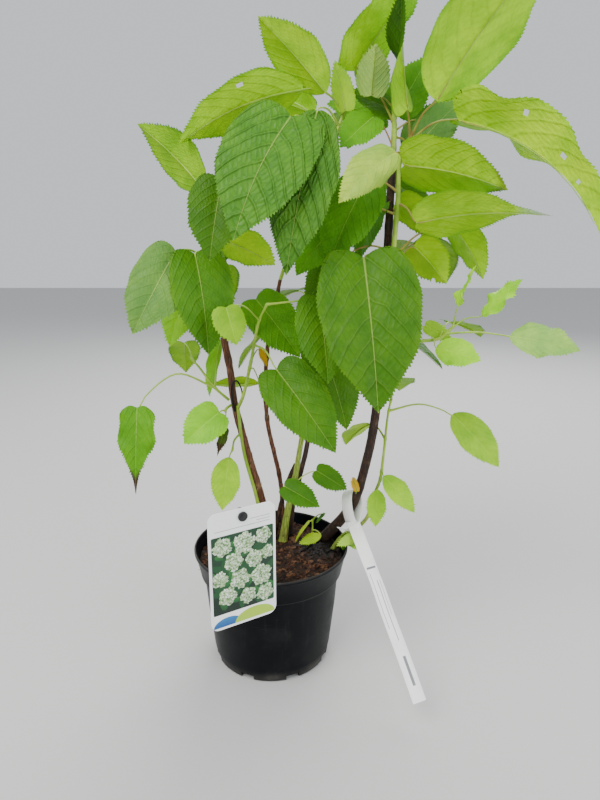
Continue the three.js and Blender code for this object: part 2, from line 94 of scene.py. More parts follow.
def evenPoints(points, count):
    divisions = 200
    points = [np.array(p, float) for p in points]
    fine = [routePoint(points, i / divisions) for i in range(divisions + 1)]
    runs = np.concatenate([[0], np.cumsum([np.linalg.norm(b - a) for a, b in zip(fine, fine[1:])])])
    shares = np.interp(np.linspace(0, runs[-1], count + 1), runs, np.linspace(0, 1, divisions + 1))
    return [routePoint(points, t) for t in shares]


def direction(heading, rise):
    heading, rise = math.radians(heading), math.radians(rise)
    flat = math.cos(rise)
    return np.array([flat * math.cos(heading), flat * math.sin(heading), math.sin(rise)])


def turned(vector, axis, angle):
    cos, sin = math.cos(angle), math.sin(angle)
    return vector * cos + np.cross(axis, vector) * sin + axis * (axis @ vector) * (1 - cos)


def spun(x, y, angle):
    return x * math.cos(angle) - y * math.sin(angle), x * math.sin(angle) + y * math.cos(angle)


def unit(vector):
    return vector / np.linalg.norm(vector)


def aheadAt(line, k):
    return unit(line[min(k + 1, len(line) - 1)] - line[max(k - 1, 0)])


def ringOf(radius, level, sides):
    return [(radius * math.cos(2 * math.pi * n / sides), radius * math.sin(2 * math.pi * n / sides), level)
            for n in range(sides)]


# Faces between two rings of points, from the place of each ring's first point in the list
def wallFaces(first, second, n):
    return [(first + k, first + (k + 1) % n, second + (k + 1) % n, second + k) for k in range(n)]


# The same run of numbers between 0 and 1 for the same seed
def numbersFrom(seed):
    state = seed * 7919 * 48271 % 2147483647
    while True:
        state = state * 48271 % 2147483647
        yield state / 2147483647


gap = 0.3
soilLevel = 118
caneFoot = soilLevel + gap

# Canes: foot and tip radius, route, bark
canes = {
    "cane_left": {"foot": 4.6, "tip": 3.7, "bark": "brown", "route": [
        (-3, 22, caneFoot), (-11, 18, 173), (-26, 12, 235), (-38, 8, 291), (-41, 8, 323), (-47, 8, 359)]},
    "cane_right": {"foot": 5.6, "tip": 3.6, "bark": "dark", "route": [
        (60, 33, caneFoot), (69, 30, 131), (79, 28, 144), (93, 24, 168), (104, 16, 214),
        (112, 8, 270), (116, 1, 370), (118, -2, 460), (120, -2, 537)]},
    "cane_rear": {"foot": 2.8, "tip": 2, "bark": "brown", "route": [
        (12, 55, caneFoot), (9, 55, 179), (-6, 50, 263), (-4, 44, 340), (11, 38, 416)]},
    "cane_centre": {"foot": 3.4, "tip": 2.4, "bark": "dark", "route": [
        (20, 40, caneFoot), (24, 37, 161), (39, 35, 227), (43, 36, 257), (48, 44, 300)]},
    "cane_broken": {"foot": 3, "tip": 2.4, "bark": "dark", "route": [
        (2, 38, caneFoot), (10, 34, 161), (21, 30, 198), (27, 29, 212)]},
    "shoot_centre": {"foot": 4.4, "tip": 2.6, "bark": "green", "route": [
        (12, 27, caneFoot), (18, 23, 158), (26, 19, 197), (32, 14, 236), (36, 10, 262)]},
    "shoot_low": {"foot": 2.6, "tip": 1.7, "bark": "green", "route": [
        (70, 9, caneFoot), (77, 11, 129), (87, 13, 137), (100, 16, 143), (109, 19, 153),
        (113, 17, 172), (118, 2, 200)]},
}

# Leaf finishes: colour of the upper side, of the underside, and how quilted the blade is if not as usual
# The underside colours hold painted light: paler than the upper side, and painted brighter for light shining
# through the blade
tones = {
    "blue": {"top": (72, 122, 30), "under": (112, 158, 44), "quilt": 0.013},
    "soft": {"top": (92, 140, 56), "under": (128, 168, 70)},
    "mint": {"top": (136, 186, 84), "under": (150, 190, 90)},
    "turning": {"top": (48, 92, 6), "under": (154, 204, 0)},
    "mid": {"top": (62, 112, 0), "under": (124, 176, 0)},
    # The dark finish is the mid one with painted shade on its underside, for leaves lying in shade behind
    # others
    "dark": {"top": (65, 113, 0), "under": (98, 150, 6)},
    "lime": {"top": (120, 184, 0), "under": (160, 212, 0), "quilt": 0.006},
    "bright": {"top": (150, 212, 0), "under": (170, 220, 0), "quilt": 0.005},
    "green": {"top": (80, 142, 0), "under": (132, 188, 0)},
    "pale": {"top": (140, 194, 20), "under": (162, 210, 30), "quilt": 0.006},
    "grey": {"top": (154, 192, 66), "under": (140, 182, 60)},
    "yellow": {"top": (186, 204, 10), "under": (200, 206, 20), "quilt": 0.006},
    "orange": {"top": (222, 168, 34), "under": (228, 176, 44), "quilt": 0.005},
}

# Masses: the stem's foot and tip radius and route, and the colour of stalks that aren't green. A leaf
# is: height on the stem, aim, length and lift of its stalk, length and width of its blade, heading, dip,
# roll, curl, finish and extras.
masses = {
    "foliage_left": {"foot": 2.4, "tip": 1.3, "route": [
        (-47.4, 7.3, 359.9), (-55, -6, 405), (-60, -18, 445), (-55, -22, 480), (-48, -24, 506)],
        "leaves": [
            (440, -143, 30, 12, 90, 64, -132, -54, -48, 30, "soft", {"wave": 0.006, "cross": (0.5, 0.9)}),
            (442, -104, 21, 5, 95, 62, -56, -77, 8, 30, "mid", {"cross": (0.2, 0.5)}),
            (500, -60, 26, 17, 74, 54, -118, -72, -28, 30, "dark", {}),
            (505, -115, 16, -15, 84, 50, 167, 43, 62, 25, "green", {"cross": (0.3, 0.5)}),
            (470, 30, 28, -32, 52, 44, 20, -26, -50, 20, "lime", {}),
            (405, 156, 25, 32, 72, 46, -147, -66, -40, 25, "lime", {}),
        ], "unseen": (385, 500, 11, 88, (35, 165))},
    "foliage_stalk": {"foot": 1.9, "tip": 1.1, "route": [
        (-33.5, 3.9, 285), (-27, -6, 300), (-18, -10, 336), (-8, -18, 380), (0, -22, 396)],
        "leaves": [
            (380, -120, 56, 18, 36, 34, -52, -64, 20, 20, "yellow",
             {"wave": 0.013, "cross": (0.8, 0.5), "greener": 1.0}),
            (368, 99, 35, 72, 76, 54, -27, -48, 45, 20, "green", {"shift": (0, 15, -3)}),
            (355, -56, 46, -23, 98, 60, -31, -48, 45, 25, "mid", {}),
            (396, -29, 58, 8, 80, 54, -74, -70, 10, 25, "dark", {"arch": 0.0}),
            (336, 45, 18, 50, 20, 11, -16, -67, 20, 10, "orange", {}),
            (330, 84, 57, -29, 54, 28, -167, 1, 40, 20, "lime", {}),
        ]},
    "foliage_upper_left": {"foot": 2, "tip": 1.4, "route": [
        (11.3, 37.9, 416.7), (30, 25, 470), (54, 8, 525), (67, 0, 556), (74, 6, 574)],
        "leaves": [
            (570, -126, 33, 25, 86, 46, -144, 34, 42, 30, "lime", {"wave": 0.016}),
            (575, -144, 50, 15, 126, 56, -167, -24, 40, 45, "lime",
             {"holes": [(0.44, -0.33, 0.03)], "wave": 0.02, "cross": (0.2, 0.9)}),
            (545, 164, 65, 40, 90, 50, -173, -25, 40, 30, "lime", {}),
            (530, 148, 81, 38, 62, 38, -174, -35, 40, 25, "lime", {}),
            (560, 126, 45, 23, 52, 38, 174, 19, 50, 20, "lime", {}),
            (540, -125, 66, 17, 121, 84, -145, -60, -50, 30, "blue",
             {"wave": 0.016, "quilt": 1.5, "sway": 0.03, "fold": 8}),
            (560, -115, 56, 7, 150, 68, -127, -72, -28, 30, "blue",
             {"shift": (2, 14, 0), "wave": 0.016, "quilt": 1.5, "cross": (0.5, 0.9)}),
            (574, -90, 13, -8, 42, 26, -129, 65, 0, 10, "pale", {}),
        ], "unseen": (440, 590, 23, 96, (25, 160))},
    "foliage_centre": {"foot": 2.6, "tip": 1.4, "route": [
        (36.2, 9.8, 262.6), (40, 8, 280), (52, 5, 320), (64, 6, 370), (70, 10, 415)],
        "leaves": [
            (340, -106, 34, 42, 96, 62, -38, -68, 25, 25, "dark", {}),
        ], "unseen": (330, 420, 5, 88, (40, 170))},
    "foliage_right": {"foot": 3, "tip": 1.8, "stalk": "red", "route": [
        (120, -6.5, 392), (122, -10, 436), (125, -10, 493), (126, -10, 530), (134, -10, 547)],
        "leaves": [
            (430, -128, 53, 12, 143, 98, -76, -70, 12, 25, "mid", {"wave": 0.008, "cross": (0.3, 0.3)}),
            (528, -106, 26, 9, 80, 42, -149, -36, -50, 50, "grey", {"cross": (1.5, 0.4), "wave": 0.03}),
            (500, -171, 33, 16, 84, 62, -156, -63, -40, 25, "green", {}),
            (480, 171, 50, 0, 76, 56, -161, -49, -45, 25, "green", {}),
            (445, 160, 43, 0, 68, 50, -167, -47, -40, 25, "dark", {}),
            (547, -52, 40, 44, 134, 94, -47, 44, -18, 25, "lime",
             {"wave": 0.013, "cross": (0.2, 0.55), "outline": "tapered"}),
            (544, -26, 49, 19, 170, 76, -29, -39, -28, 60, "bright",
             {"outline": "margin", "wave": 0.026, "fold": 24, "cross": (0.1, 0.05),
              "holes": [(0.3, 0.31, 0.012), (0.56, 0.155, 0.012), (0.7, 0.075, 0.012)]}),
            (528, -75, 11, -25, 98, 68, -26, -15, -45, 30, "lime", {"brown": 0.5}),
            (547, -113, 28, 54, 90, 42, -111, 64, 55, 20, "turning",
             {"twist": -125, "cross": (0.1, 0.6), "fold": 28, "outline": "margin"}),
            (490, -44, 28, -39, 120, 64, -23, 2, -35, 30, "lime",
             {"cross": (0.6, 0.3), "paleTip": 0.9, "outline": "tailed"}),
            (440, -14, 70, 30, 62, 52, -29, -57, -50, 30, "lime", {"shift": (0, 26, -4)}),
            (425, 39, 41, 39, 50, 50, -18, -47, -60, 20, "lime", {"holes": [(0.78, -0.27, 0.07)]}),
        ], "unseen": (410, 540, 37, 94, (15, 150))},
    "foliage_top": {"foot": 2.8, "tip": 1.4, "stalk": "red", "route": [
        (120, -2, 537.5), (120, -3, 560), (117, -5, 582)],
        "leaves": [
            (561, -172, 59, 48, 94, 62, -32, 43, -12, 25, "lime", {"wave": 0.02}),
            (575, -156, 25, 19, 42, 32, -89, 58, -70, 15, "mint", {"turn": 55, "quilt": 1.6}),
            (560, 93, 16, 55, 46, 32, -173, 22, -60, 15, "mid", {}),
            (540, -160, 34, 50, 48, 36, -147, -38, -50, 15, "green", {}),
            (555, 36, 50, 12, 54, 44, 0, 28, -50, 20, "lime", {}),
            (550, 29, 25, -24, 62, 50, 3, 45, 60, 20, "soft", {}),
        ], "unseen": (545, 582, 41, 92, (20, 170))},
    "foliage_right_low": {"foot": 1.7, "tip": 1.1, "route": [
        (119.1, -2.3, 351), (145, -12, 358), (171, -15, 362), (183, -18, 374)],
        "leaves": [
            (367, -18, 60, 0, 64, 38, -24, -9, 50, 20, "mint", {"wave": 0.045, "arch": 0.04}),
            (360, -92, 22, -12, 44, 34, -24, -12, 50, 20, "bright", {"wave": 0.03, "outline": "tapered"}),
            (370, -15, 34, 26, 50, 26, -28, 47, 50, 15, "bright", {"wave": 0.06, "cross": (0.6, 0.3)}),
            (374, -59, 21, 77, 42, 20, -35, 69, 60, 15, "bright", {"wave": 0.09, "twist": 70}),
            (357, 19, 25, 41, 30, 18, -15, -28, 60, 15, "pale", {}),
            (362, 60, 36, 20, 62, 42, 40, -20, 0, 20, "green", {}),
        ]},
    "foliage_low": {"foot": 1.7, "tip": 1.1, "route": [
        (118.1, 1.7, 200.5), (119, -1, 206), (122, 1, 235), (126, 9, 274), (129, 10, 292)],
        "leaves": [
            (280, -5, 67, -2, 74, 40, -23, -45, 50, 30, "pale", {}),
            (215, -90, 16, 4, 50, 26, -25, -45, 40, 25, "pale", {}),
            (206, -111, 14, -30, 40, 22, -102, -75, 0, 15, "pale", {}),
            (292, 75, 34, 30, 66, 44, 75, -25, 0, 25, "green", {}),
            (250, 120, 30, 20, 60, 40, 120, -40, 0, 25, "pale", {}),
        ]},
    "foliage_back": {"foot": 2.4, "tip": 1.3, "route": [
        (48.1, 44.3, 300.7), (52, 60, 350), (58, 74, 420), (66, 76, 490), (70, 72, 520)],
        "leaves": [], "unseen": (325, 520, 53, 90, (-20, 200))},
    "foliage_left_low": {"foot": 1.5, "tip": 1, "route": [
        (-43.5, 9, 292), (-58, 8, 306), (-74, 4, 330), (-82, 2, 340)],
        "leaves": [
            (306, -160, 82, -10, 90, 42, -94, -76, -10, 20, "green",
             {"arch": 0.3, "brown": 1.0, "brownFrom": 0.74, "cross": (0.5, 0.7), "wave": 0.03,
              "ragged": 0.45, "outline": "tailed"}),
            (336, 120, 30, 30, 58, 36, 100, -45, 0, 20, "green", {}),
            (306, 75, 52, 66, 63, 30, -144, -75, 0, 20, "lime", {}),
        ]},
    "leaf_left_small": {"foot": 1.2, "tip": 1, "route": [
        (-40.5, 4.7, 288), (-44, -3, 287), (-46, -8, 285)],
        "leaves": [
            (285, -130, 8, 0, 48, 44, -153, -36, -48, 20, "lime", {}),
            (286, -90, 20, -60, 32, 16, -160, -72, -60, 30, "dark",
             {"brown": 1.0, "brownFrom": 0.5, "dry": 0.6, "cross": (1.6, 1.6), "wave": 0.06,
              "outline": "tailed"}),
        ]},
    "leaf_left_hanging": {"foot": 1.2, "tip": 1, "route": [
        (-33.1, 6, 255), (-38, 0, 250), (-40, -4, 240)],
        "leaves": [
            (240, -125, 8, -50, 58, 34, -129, -77, -30, 15, "pale", {}),
        ]},
    "leaf_centre_low": {"foot": 1.2, "tip": 1, "route": [
        (22, 16, 178), (21, 8, 190), (18, -2, 200)],
        "leaves": [
            (200, -111, 8, 10, 44, 28, -20, -24, 45, 20, "mid", {}),
            (190, 10, 36, 35, 40, 26, -9, -31, 60, 20, "mid", {}),
        ]},
    "leaf_basal": {"foot": 1.2, "tip": 0.9, "route": [
        (44, 22, caneFoot), (46, 18, 135), (46, 15, 150)],
        "leaves": [
            (149, -149, 4, 0, 28, 18, -149, -48, 30, 15, "yellow", {"greener": 0.4}),
            (150, -20, 18, 36, 14, 11, -150, -40, 20, 10, "mid", {}),
        ]},
    "leaf_rim": {"foot": 1.2, "tip": 0.9, "route": [
        (74, 6.7, 126), (76, 2, 131), (79, -2, 136)],
        "leaves": [
            (135, -30, 4, 0, 28, 16, -30, -10, 0, 10, "pale", {"shift": (0, 0, -2)}),
        ]},
}

growth = {"pairStep": 17, "smallArch": 2, "stalkRadius": 1.15, "stalkInBlade": 0.2, "tipShare": 0.98,
          "steps": 40,
          "bladeBalls": (0.1, 0.4, 0.7, 0.95), "stalkBalls": (0.3, 0.6, 0.9), "ballSize": 0.2,
          "stalkBall": 3, "limbClearance": 9, "massClearance": 9}

# What holds for a leaf whose extras don't say otherwise
usualExtras = {"arch": 0.14, "shift": (0, 0, 0), "mass": "leaf_rim", "turn": 0, "fold": 14, "twist": 0,
               "sway": 0.0, "cross": (0.32, 0.32), "wave": 0.011, "ragged": 0.1, "quilt": 1.0,
               "brownFrom": 0.86, "holes": []}


def placeAtHeight(stem, height):
    rising = stem if stem[-1][2] > stem[0][2] else stem[::-1]
    upper = next((k for k, place in enumerate(rising) if place[2] >= height), None)
    if upper is None:
        return rising[-1]
    if upper == 0:
        return rising[0]
    low, high = rising[upper - 1], rising[upper]
    return low + (high - low) * (height - low[2]) / (high[2] - low[2])


def leafAt(root, base, rise, long, wide, heading, dip, roll, curl, tone, extras):
    middle = (root + base) / 2 + np.array([0, 0, rise])
    inBlade = base + direction(heading, dip + curl / 2) * long * growth["stalkInBlade"]
    tip = base + direction(heading, dip) * long * growth["tipShare"]
    return {"root": root, "base": base, "tip": tip,
            "long": long, "wide": wide, "heading": heading, "dip": dip, "roll": roll, "curl": curl,
            "tone": tone, "extras": {**usualExtras, **extras}, "stalkRoute": [root, middle, base, inBlade]}


# Where a leaf of a row stands: its stalk's route, and the lie of its blade
def leafFrom(stem, row):
    height, aim, stalk, lift, *shape = row
    root = placeAtHeight(stem, height)
    arch = shape[-1].get("arch", usualExtras["arch"])
    return leafAt(root, root + direction(aim, lift) * stalk, stalk * arch, *shape)


def ballsOf(leaf, owner):
    blade = [(leaf["base"] + (leaf["tip"] - leaf["base"]) * t, leaf["wide"] * growth["ballSize"], owner, True)
             for t in growth["bladeBalls"]]
    stalk = [(leaf["root"] + (leaf["base"] - leaf["root"]) * t, growth["stalkBall"], owner, False)
             for t in growth["stalkBalls"]]
    return blade + stalk


def isClear(balls, taken):
    for middle, radius, owner, inBlade in balls:
        for other, otherRadius, otherOwner, otherInBlade in taken:
            own = owner == otherOwner
            if own and not (inBlade and otherInBlade):
                continue
            room = radius + otherRadius + (0 if own or otherOwner is None else growth["massClearance"])
            if np.linalg.norm(middle - other) <= room:
                return False
    return True


# Least and most of what the leaves of the far side get
unseenBuild = {"turn": (0, 90), "aim": (-20, 20), "stalk": (34, 74), "lift": (12, 46), "size": (0.8, 1.12),
               "heading": (-30, 30), "dip": (-58, -12), "roll": (-15, 15), "curl": (18, 38),
               "shape": (0.6, 0.72)}


# Leaves of the far side, by the same rule and seeds as the part's source
def unseenRows(start, end, seed, size, spread):
    numbers = numbersFrom(seed)

    def drawn(key):
        low, high = unseenBuild[key]
        return low + (high - low) * next(numbers)

    rows = []
    turn = drawn("turn")
    height = start
    while height <= end:
        for half in (0, 180):
            aim = (turn + half + drawn("aim") + 180) % 360 - 180
            row = [height, aim, drawn("stalk"), drawn("lift"), size * drawn("size"), 0,
                   aim + drawn("heading"), drawn("dip"), drawn("roll"), drawn("curl")]
            row[5] = row[4] * drawn("shape")
            swing = aim + 360 if aim < spread[0] - 90 else aim
            if spread[0] <= swing <= spread[1]:
                rows.append(row)
        turn += 90
        height += growth["pairStep"]
    return rows


taken = []
for cane in canes.values():
    taken += [(place, growth["limbClearance"], None, False)
              for place in evenPoints(cane["route"], growth["steps"])]
for name, mass in masses.items():
    mass["stem"] = evenPoints(mass["route"], growth["steps"])
    mass["grown"] = [leafFrom(mass["stem"], row) for row in mass["leaves"]]
    taken += [(place, growth["stalkBall"], name, False) for place in mass["stem"]]
    for leaf in mass["grown"]:
        taken += ballsOf(leaf, name)


# Small leaves by the soil and strap, and four that fill the crown: root, foot of the blade, then
# as in a row above
smallLeaves = [
    ((98, 15, 142), (98, 0, 140), 36, 14, -139, -3, -46, 30, "grey", {"cross": (0.7, 0.7), "wave": 0.02}),
    ((46, 17, 137), (56, 10, 134), 27, 13, -166, -16, -42, 25, "yellow", {"greener": 0.6, "wave": 0.03}),
    ((94, 22, 172), (95.5, 13.5, 186), 17, 11, 160, 72, 80, 20, "orange", {"cross": (0.8, 0.8)}),
    ((83, 12, 134), (84, 5, 139), 19, 11, -120, -62, 10, 20, "mid", {"outline": "tapered"}),
    ((124, -8, 482), (111, 14, 496), 64, 54, -170, -72, -18, 20, "green", {"mass": "foliage_right"}),
    ((120, -1, 560), (116, 24, 572), 60, 46, 178, 12, -60, 20, "green", {"mass": "foliage_top"}),
    ((121, -3, 566), (125, 17, 574), 58, 42, 6, 60, 72, 20, "green", {"mass": "foliage_top"}),
    ((123, -9, 475), (129, 12, 492), 56, 44, -16, -38, -50, 25, "lime", {"mass": "foliage_right"}),
]
for root, base, *shape in smallLeaves:
    leaf = leafAt(np.array(root, float), np.array(base, float), growth["smallArch"], *shape)
    masses[leaf["extras"]["mass"]]["grown"].append(leaf)
unseenTones = ("mid", "green", "dark", "mid", "lime", "blue")
for name, mass in masses.items():
    for number, row in enumerate(unseenRows(*mass["unseen"]) if "unseen" in mass else []):
        leaf = leafFrom(mass["stem"], (*row, unseenTones[number % len(unseenTones)], {}))
        balls = ballsOf(leaf, name)
        if isClear(balls, taken):
            taken += balls
            mass["grown"].append(leaf)
for mass in masses.values():
    for leaf in mass["grown"]:
        shift = np.array(leaf["extras"]["shift"], float)
        leaf["base"] = leaf["base"] + shift
        leaf["stalkRoute"] = [leaf["root"], *(place + shift for place in leaf["stalkRoute"][1:])]
print("leaves grown:", sum(len(mass["grown"]) for mass in masses.values()))


# Meshes are gathered as arrays, and made in metres
class Gathered:
    def __init__(self):
        self.places, self.faces, self.flat, self.tints, self.count = [], [], [], [], 0

    def add(self, places, faces, flat, tints):
        self.places.append(places)
        self.faces += [tuple(corner + self.count for corner in face) for face in faces]
        self.flat.append(flat)
        self.tints.append(tints)
        self.count += len(places)

    def toObject(self, name, material, smooth=True):
        mesh = bpy.data.meshes.new(name)
        places = np.concatenate(self.places) * mm
        mesh.from_pydata(places.tolist(), [], self.faces)
        corners = np.zeros(len(mesh.loops), np.int32)
        mesh.loops.foreach_get("vertex_index", corners)
        layer = mesh.uv_layers.new(name="bladeMap")
        layer.data.foreach_set("uv", np.concatenate(self.flat)[corners].astype(np.float32).ravel())
        tint = mesh.attributes.new("tint", "FLOAT_COLOR", "POINT")
        tint.data.foreach_set("color", np.concatenate(self.tints).astype(np.float32).ravel())
        mesh.materials.append(material)
        mesh.update()
        if smooth:
            soften(mesh)
        return newObject(name, mesh)


def coloured(value):
    return (*value, 1) if isinstance(value, tuple) else value


# Nodes of a shader or of a geometry tree, added and linked in one call
class Tree:
    def __init__(self, tree):
        self.tree = tree

    def add(self, kind, links=None, **values):
        node = self.tree.nodes.new(kind)
        for key, value in values.items():
            setattr(node, key, value)
        self.fill(node, links or {})
        return node

    def fill(self, node, links):
        for key, value in links.items():
            socket = node.inputs[key]
            if isinstance(value, bpy.types.NodeSocket):
                self.link(value, socket)
            elif isinstance(value, bpy.types.Node):
                self.link(value.outputs[0], socket)
            else:
                socket.default_value = value

    def link(self, source, socket):
        self.tree.links.new(source, socket)

    def math(self, operation, *values):
        return self.add("ShaderNodeMath", dict(enumerate(values)), operation=operation).outputs[0]

    def plus(self, first, second):
        return self.math("ADD", first, second)

    def minus(self, first, second):
        return self.math("SUBTRACT", first, second)

    def times(self, first, second):
        return self.math("MULTIPLY", first, second)

    def mix(self, share, low, high, how="MIX"):
        return self.add("ShaderNodeMix", {0: share, 6: coloured(low), 7: coloured(high)}, data_type="RGBA",
                        blend_type=how).outputs[2]

    def dyed(self, colour, dye):
        return self.mix(1.0, colour, dye, "MULTIPLY")

    def stretched(self, where, by):
        return self.add("ShaderNodeVectorMath", {0: where, 1: by}, operation="MULTIPLY").outputs[0]

    def tint(self):
        return self.add("ShaderNodeAttribute", attribute_name="tint").outputs

    def range(self, value, low, high, to=(0, 1)):
        return self.add("ShaderNodeMapRange", {0: value, 1: low, 2: high, 3: to[0], 4: to[1]},
                        interpolation_type="SMOOTHSTEP").outputs[0]

    def noise(self, where, scale, detail=3, roughness=0.5):
        return self.add("ShaderNodeTexNoise", {"Vector": where, "Scale": scale, "Detail": detail,
                                               "Roughness": roughness}).outputs["Fac"]


def newMaterial(name):
    material = bpy.data.materials.new(name)
    material.use_nodes = True
    material.node_tree.nodes.clear()
    tree = Tree(material.node_tree)
    tree.where = tree.add("ShaderNodeTexCoord").outputs["Object"]
    tree.shader = tree.add("ShaderNodeBsdfPrincipled")
    tree.add("ShaderNodeOutputMaterial", {"Surface": tree.shader})
    return material, tree


def finishMaterial(tree, colour, rough, height=None, strength=0.5, distance=0.001, **values):
    tree.fill(tree.shader, {"Base Color": coloured(colour), "Roughness": rough})
    if height is not None:
        bump = tree.add("ShaderNodeBump", {"Height": height, "Strength": strength, "Distance": distance})
        tree.fill(tree.shader, {"Normal": bump})
    tree.fill(tree.shader, {key.replace("_", " "): value for key, value in values.items()})


def newGroup(name, inputs, outputs):
    group = bpy.data.node_groups.new(name, "ShaderNodeTree")
    for key, value in inputs.items():
        kind = "NodeSocketVector" if value is None else "NodeSocketFloat"
        socket = group.interface.new_socket(key, in_out="INPUT", socket_type=kind)
        if value is not None:
            socket.default_value = value
    for key in outputs:
        group.interface.new_socket(key, in_out="OUTPUT", socket_type="NodeSocketFloat")
    tree = Tree(group)
    tree.start = tree.add("NodeGroupInput")
    tree.end = tree.add("NodeGroupOutput")
    return group, tree


mapFoot = 0.08  # room that a blade's map leaves below its foot
veinBuild = {"Pairs": 7.5, "Slant": 0.5, "Bow": 0.85, "Cells": 17.0}


# Side veins that leave the midrib at a slant and bow towards the tip, with puffed cells between
def buildVeinGroup():
    group, tree = newGroup("leafVeins", {"Map": None, "Place": None, **veinBuild},
                           ("Midrib", "Veins", "Net", "Valley", "Height"))
    inputs = tree.start.outputs
    parts = tree.add("ShaderNodeSeparateXYZ", {0: inputs["Map"]})
    run = tree.minus(tree.times(parts.outputs[1], 1 + mapFoot), mapFoot)
    out = tree.math("ABSOLUTE", tree.minus(parts.outputs[0], 0.5))
    bow = tree.plus(tree.times(out, inputs["Slant"]),
                    tree.times(tree.math("POWER", out, 2.0), inputs["Bow"]))
    wobble = tree.times(tree.minus(tree.noise(inputs["Place"], 44, 2), 0.5), 0.085)
    phase = tree.times(tree.plus(tree.minus(run, bow), wobble), inputs["Pairs"])
    swing = tree.math("ABSOLUTE", tree.minus(tree.math("FRACT", phase), 0.5))
    thin = tree.plus(0.455, tree.times(out, 0.05))
    veins = tree.range(swing, thin, 0.5)
    valley = tree.range(swing, 0.3, 0.49)
    midribWide = tree.times(tree.minus(1.15, run), 0.014)
    midrib = tree.range(out, midribWide, 0.002)
    rung = tree.times(tree.plus(out, tree.times(run, 0.8)), inputs["Cells"])
    bent = tree.add("ShaderNodeCombineXYZ", {0: rung, 1: phase})
    cells = tree.add("ShaderNodeTexVoronoi", {"Vector": bent, "Scale": 1.0, "Randomness": 0.8},
                     feature="DISTANCE_TO_EDGE", voronoi_dimensions="2D")
    net = tree.range(cells.outputs["Distance"], 0.13, 0.0)
    puff = tree.range(cells.outputs["Distance"], 0.0, 0.42)
    height = tree.minus(tree.times(puff, 0.28), tree.times(valley, 0.45))
    height = tree.minus(height, tree.times(midrib, 0.4))
    tree.fill(tree.end, {"Midrib": midrib, "Veins": veins, "Net": net, "Valley": valley, "Height": height})
    return group


# Fine grain, dust in patches and light scratches, shared by the plastics
def buildWearGroup():
    group, tree = newGroup("surfaceWear", {"Place": None, "Grain": 900.0, "Patches": 22.0},
                           ("Grain", "Dust", "Marks"))
    inputs = tree.start.outputs
    grain = tree.noise(inputs["Place"], inputs["Grain"], 2)
    patches = tree.noise(inputs["Place"], inputs["Patches"], 5, 0.65)
    dust = tree.range(patches, 0.46, 0.72)
    marks = tree.range(tree.noise(tree.stretched(inputs["Place"], (60, 60, 900)), 1.0, 2), 0.66, 0.72)
    tree.fill(tree.end, {"Grain": grain, "Dust": dust, "Marks": marks})
    return group


veinGroup = buildVeinGroup()
wearGroup = buildWearGroup()


def addWear(tree, grain, patches):
    return tree.add("ShaderNodeGroup", {"Place": tree.where, "Grain": grain, "Patches": patches},
                    node_tree=wearGroup).outputs


def buildLeafMaterial():
    material, tree = newMaterial("leafBlade")
    tint = tree.tint()
    flat = tree.add("ShaderNodeUVMap", uv_map="bladeMap").outputs[0]
    veins = tree.add("ShaderNodeGroup", {"Map": flat, "Place": tree.where, **veinBuild},
                     node_tree=veinGroup).outputs
    blotch = tree.noise(tree.where, 38, 4, 0.6)
    lighter = tree.dyed(tint["Color"], (1.22, 1.12, 1.0))
    darker = tree.dyed(tint["Color"], (0.76, 0.84, 0.9))
    body = tree.mix(tree.range(blotch, 0.3, 0.7), darker, lighter)
    mottle = tree.range(tree.noise(tree.where, 150, 3, 0.6), 0.35, 0.68)
    body = tree.mix(tree.times(mottle, 0.45), body, tree.dyed(body, (0.84, 0.88, 0.9)))
    # Painted shade: the hollows between side veins and the creases round the puffed cells are darkened in
    # colour, more on more quilted blades
    shaded = tree.dyed(body, (0.62, 0.72, 0.74))
    creaseShade = tree.dyed(body, (0.42, 0.54, 0.54))
    valley = tree.times(veins["Valley"], tree.math("MULTIPLY_ADD", tint["Alpha"], 0.36, 0.1))
    body = tree.mix(valley, body, shaded)
    veinColour = tree.mix(0.4, tree.dyed(tint["Color"], (1.5, 1.35, 1.4)), (0.5, 0.62, 0.14))
    body = tree.mix(tree.times(veins["Net"], tree.times(tint["Alpha"], 0.45)), body, creaseShade)
    body = tree.mix(tree.times(veins["Veins"], 0.2), body, veinColour)
    body = tree.mix(tree.times(veins["Midrib"], 0.8), body, veinColour)
    specks = tree.range(tree.noise(tree.where, 420, 2), 0.76, 0.8)
    body = tree.mix(tree.times(specks, 0.35), body, (0.1, 0.08, 0.03))
    rough = tree.range(tree.noise(tree.where, 120, 3), 0.3, 0.7, (0.42, 0.6))
    height = tree.times(veins["Height"], tint["Alpha"])
    finishMaterial(tree, body, rough, height, 1.0, 0.0025, Specular_IOR_Level=0.16)
    return material


# Soft stalks: two colours in patches, with a flush of a third on some of them
def buildStalkMaterial(name, low, high, flush):
    material, tree = newMaterial(name)
    patches = tree.range(tree.noise(tree.where, 38, 4, 0.6), 0.35, 0.68)
    body = tree.mix(patches, low, high)
    body = tree.mix(tree.times(tree.range(tree.noise(tree.where, 90, 3), 0.5, 0.75), 0.6), body, flush)
    speck = tree.noise(tree.where, 900, 2)
    finishMaterial(tree, body, 0.42, speck, 0.25, 0.0004, Specular_IOR_Level=0.4)
    return material


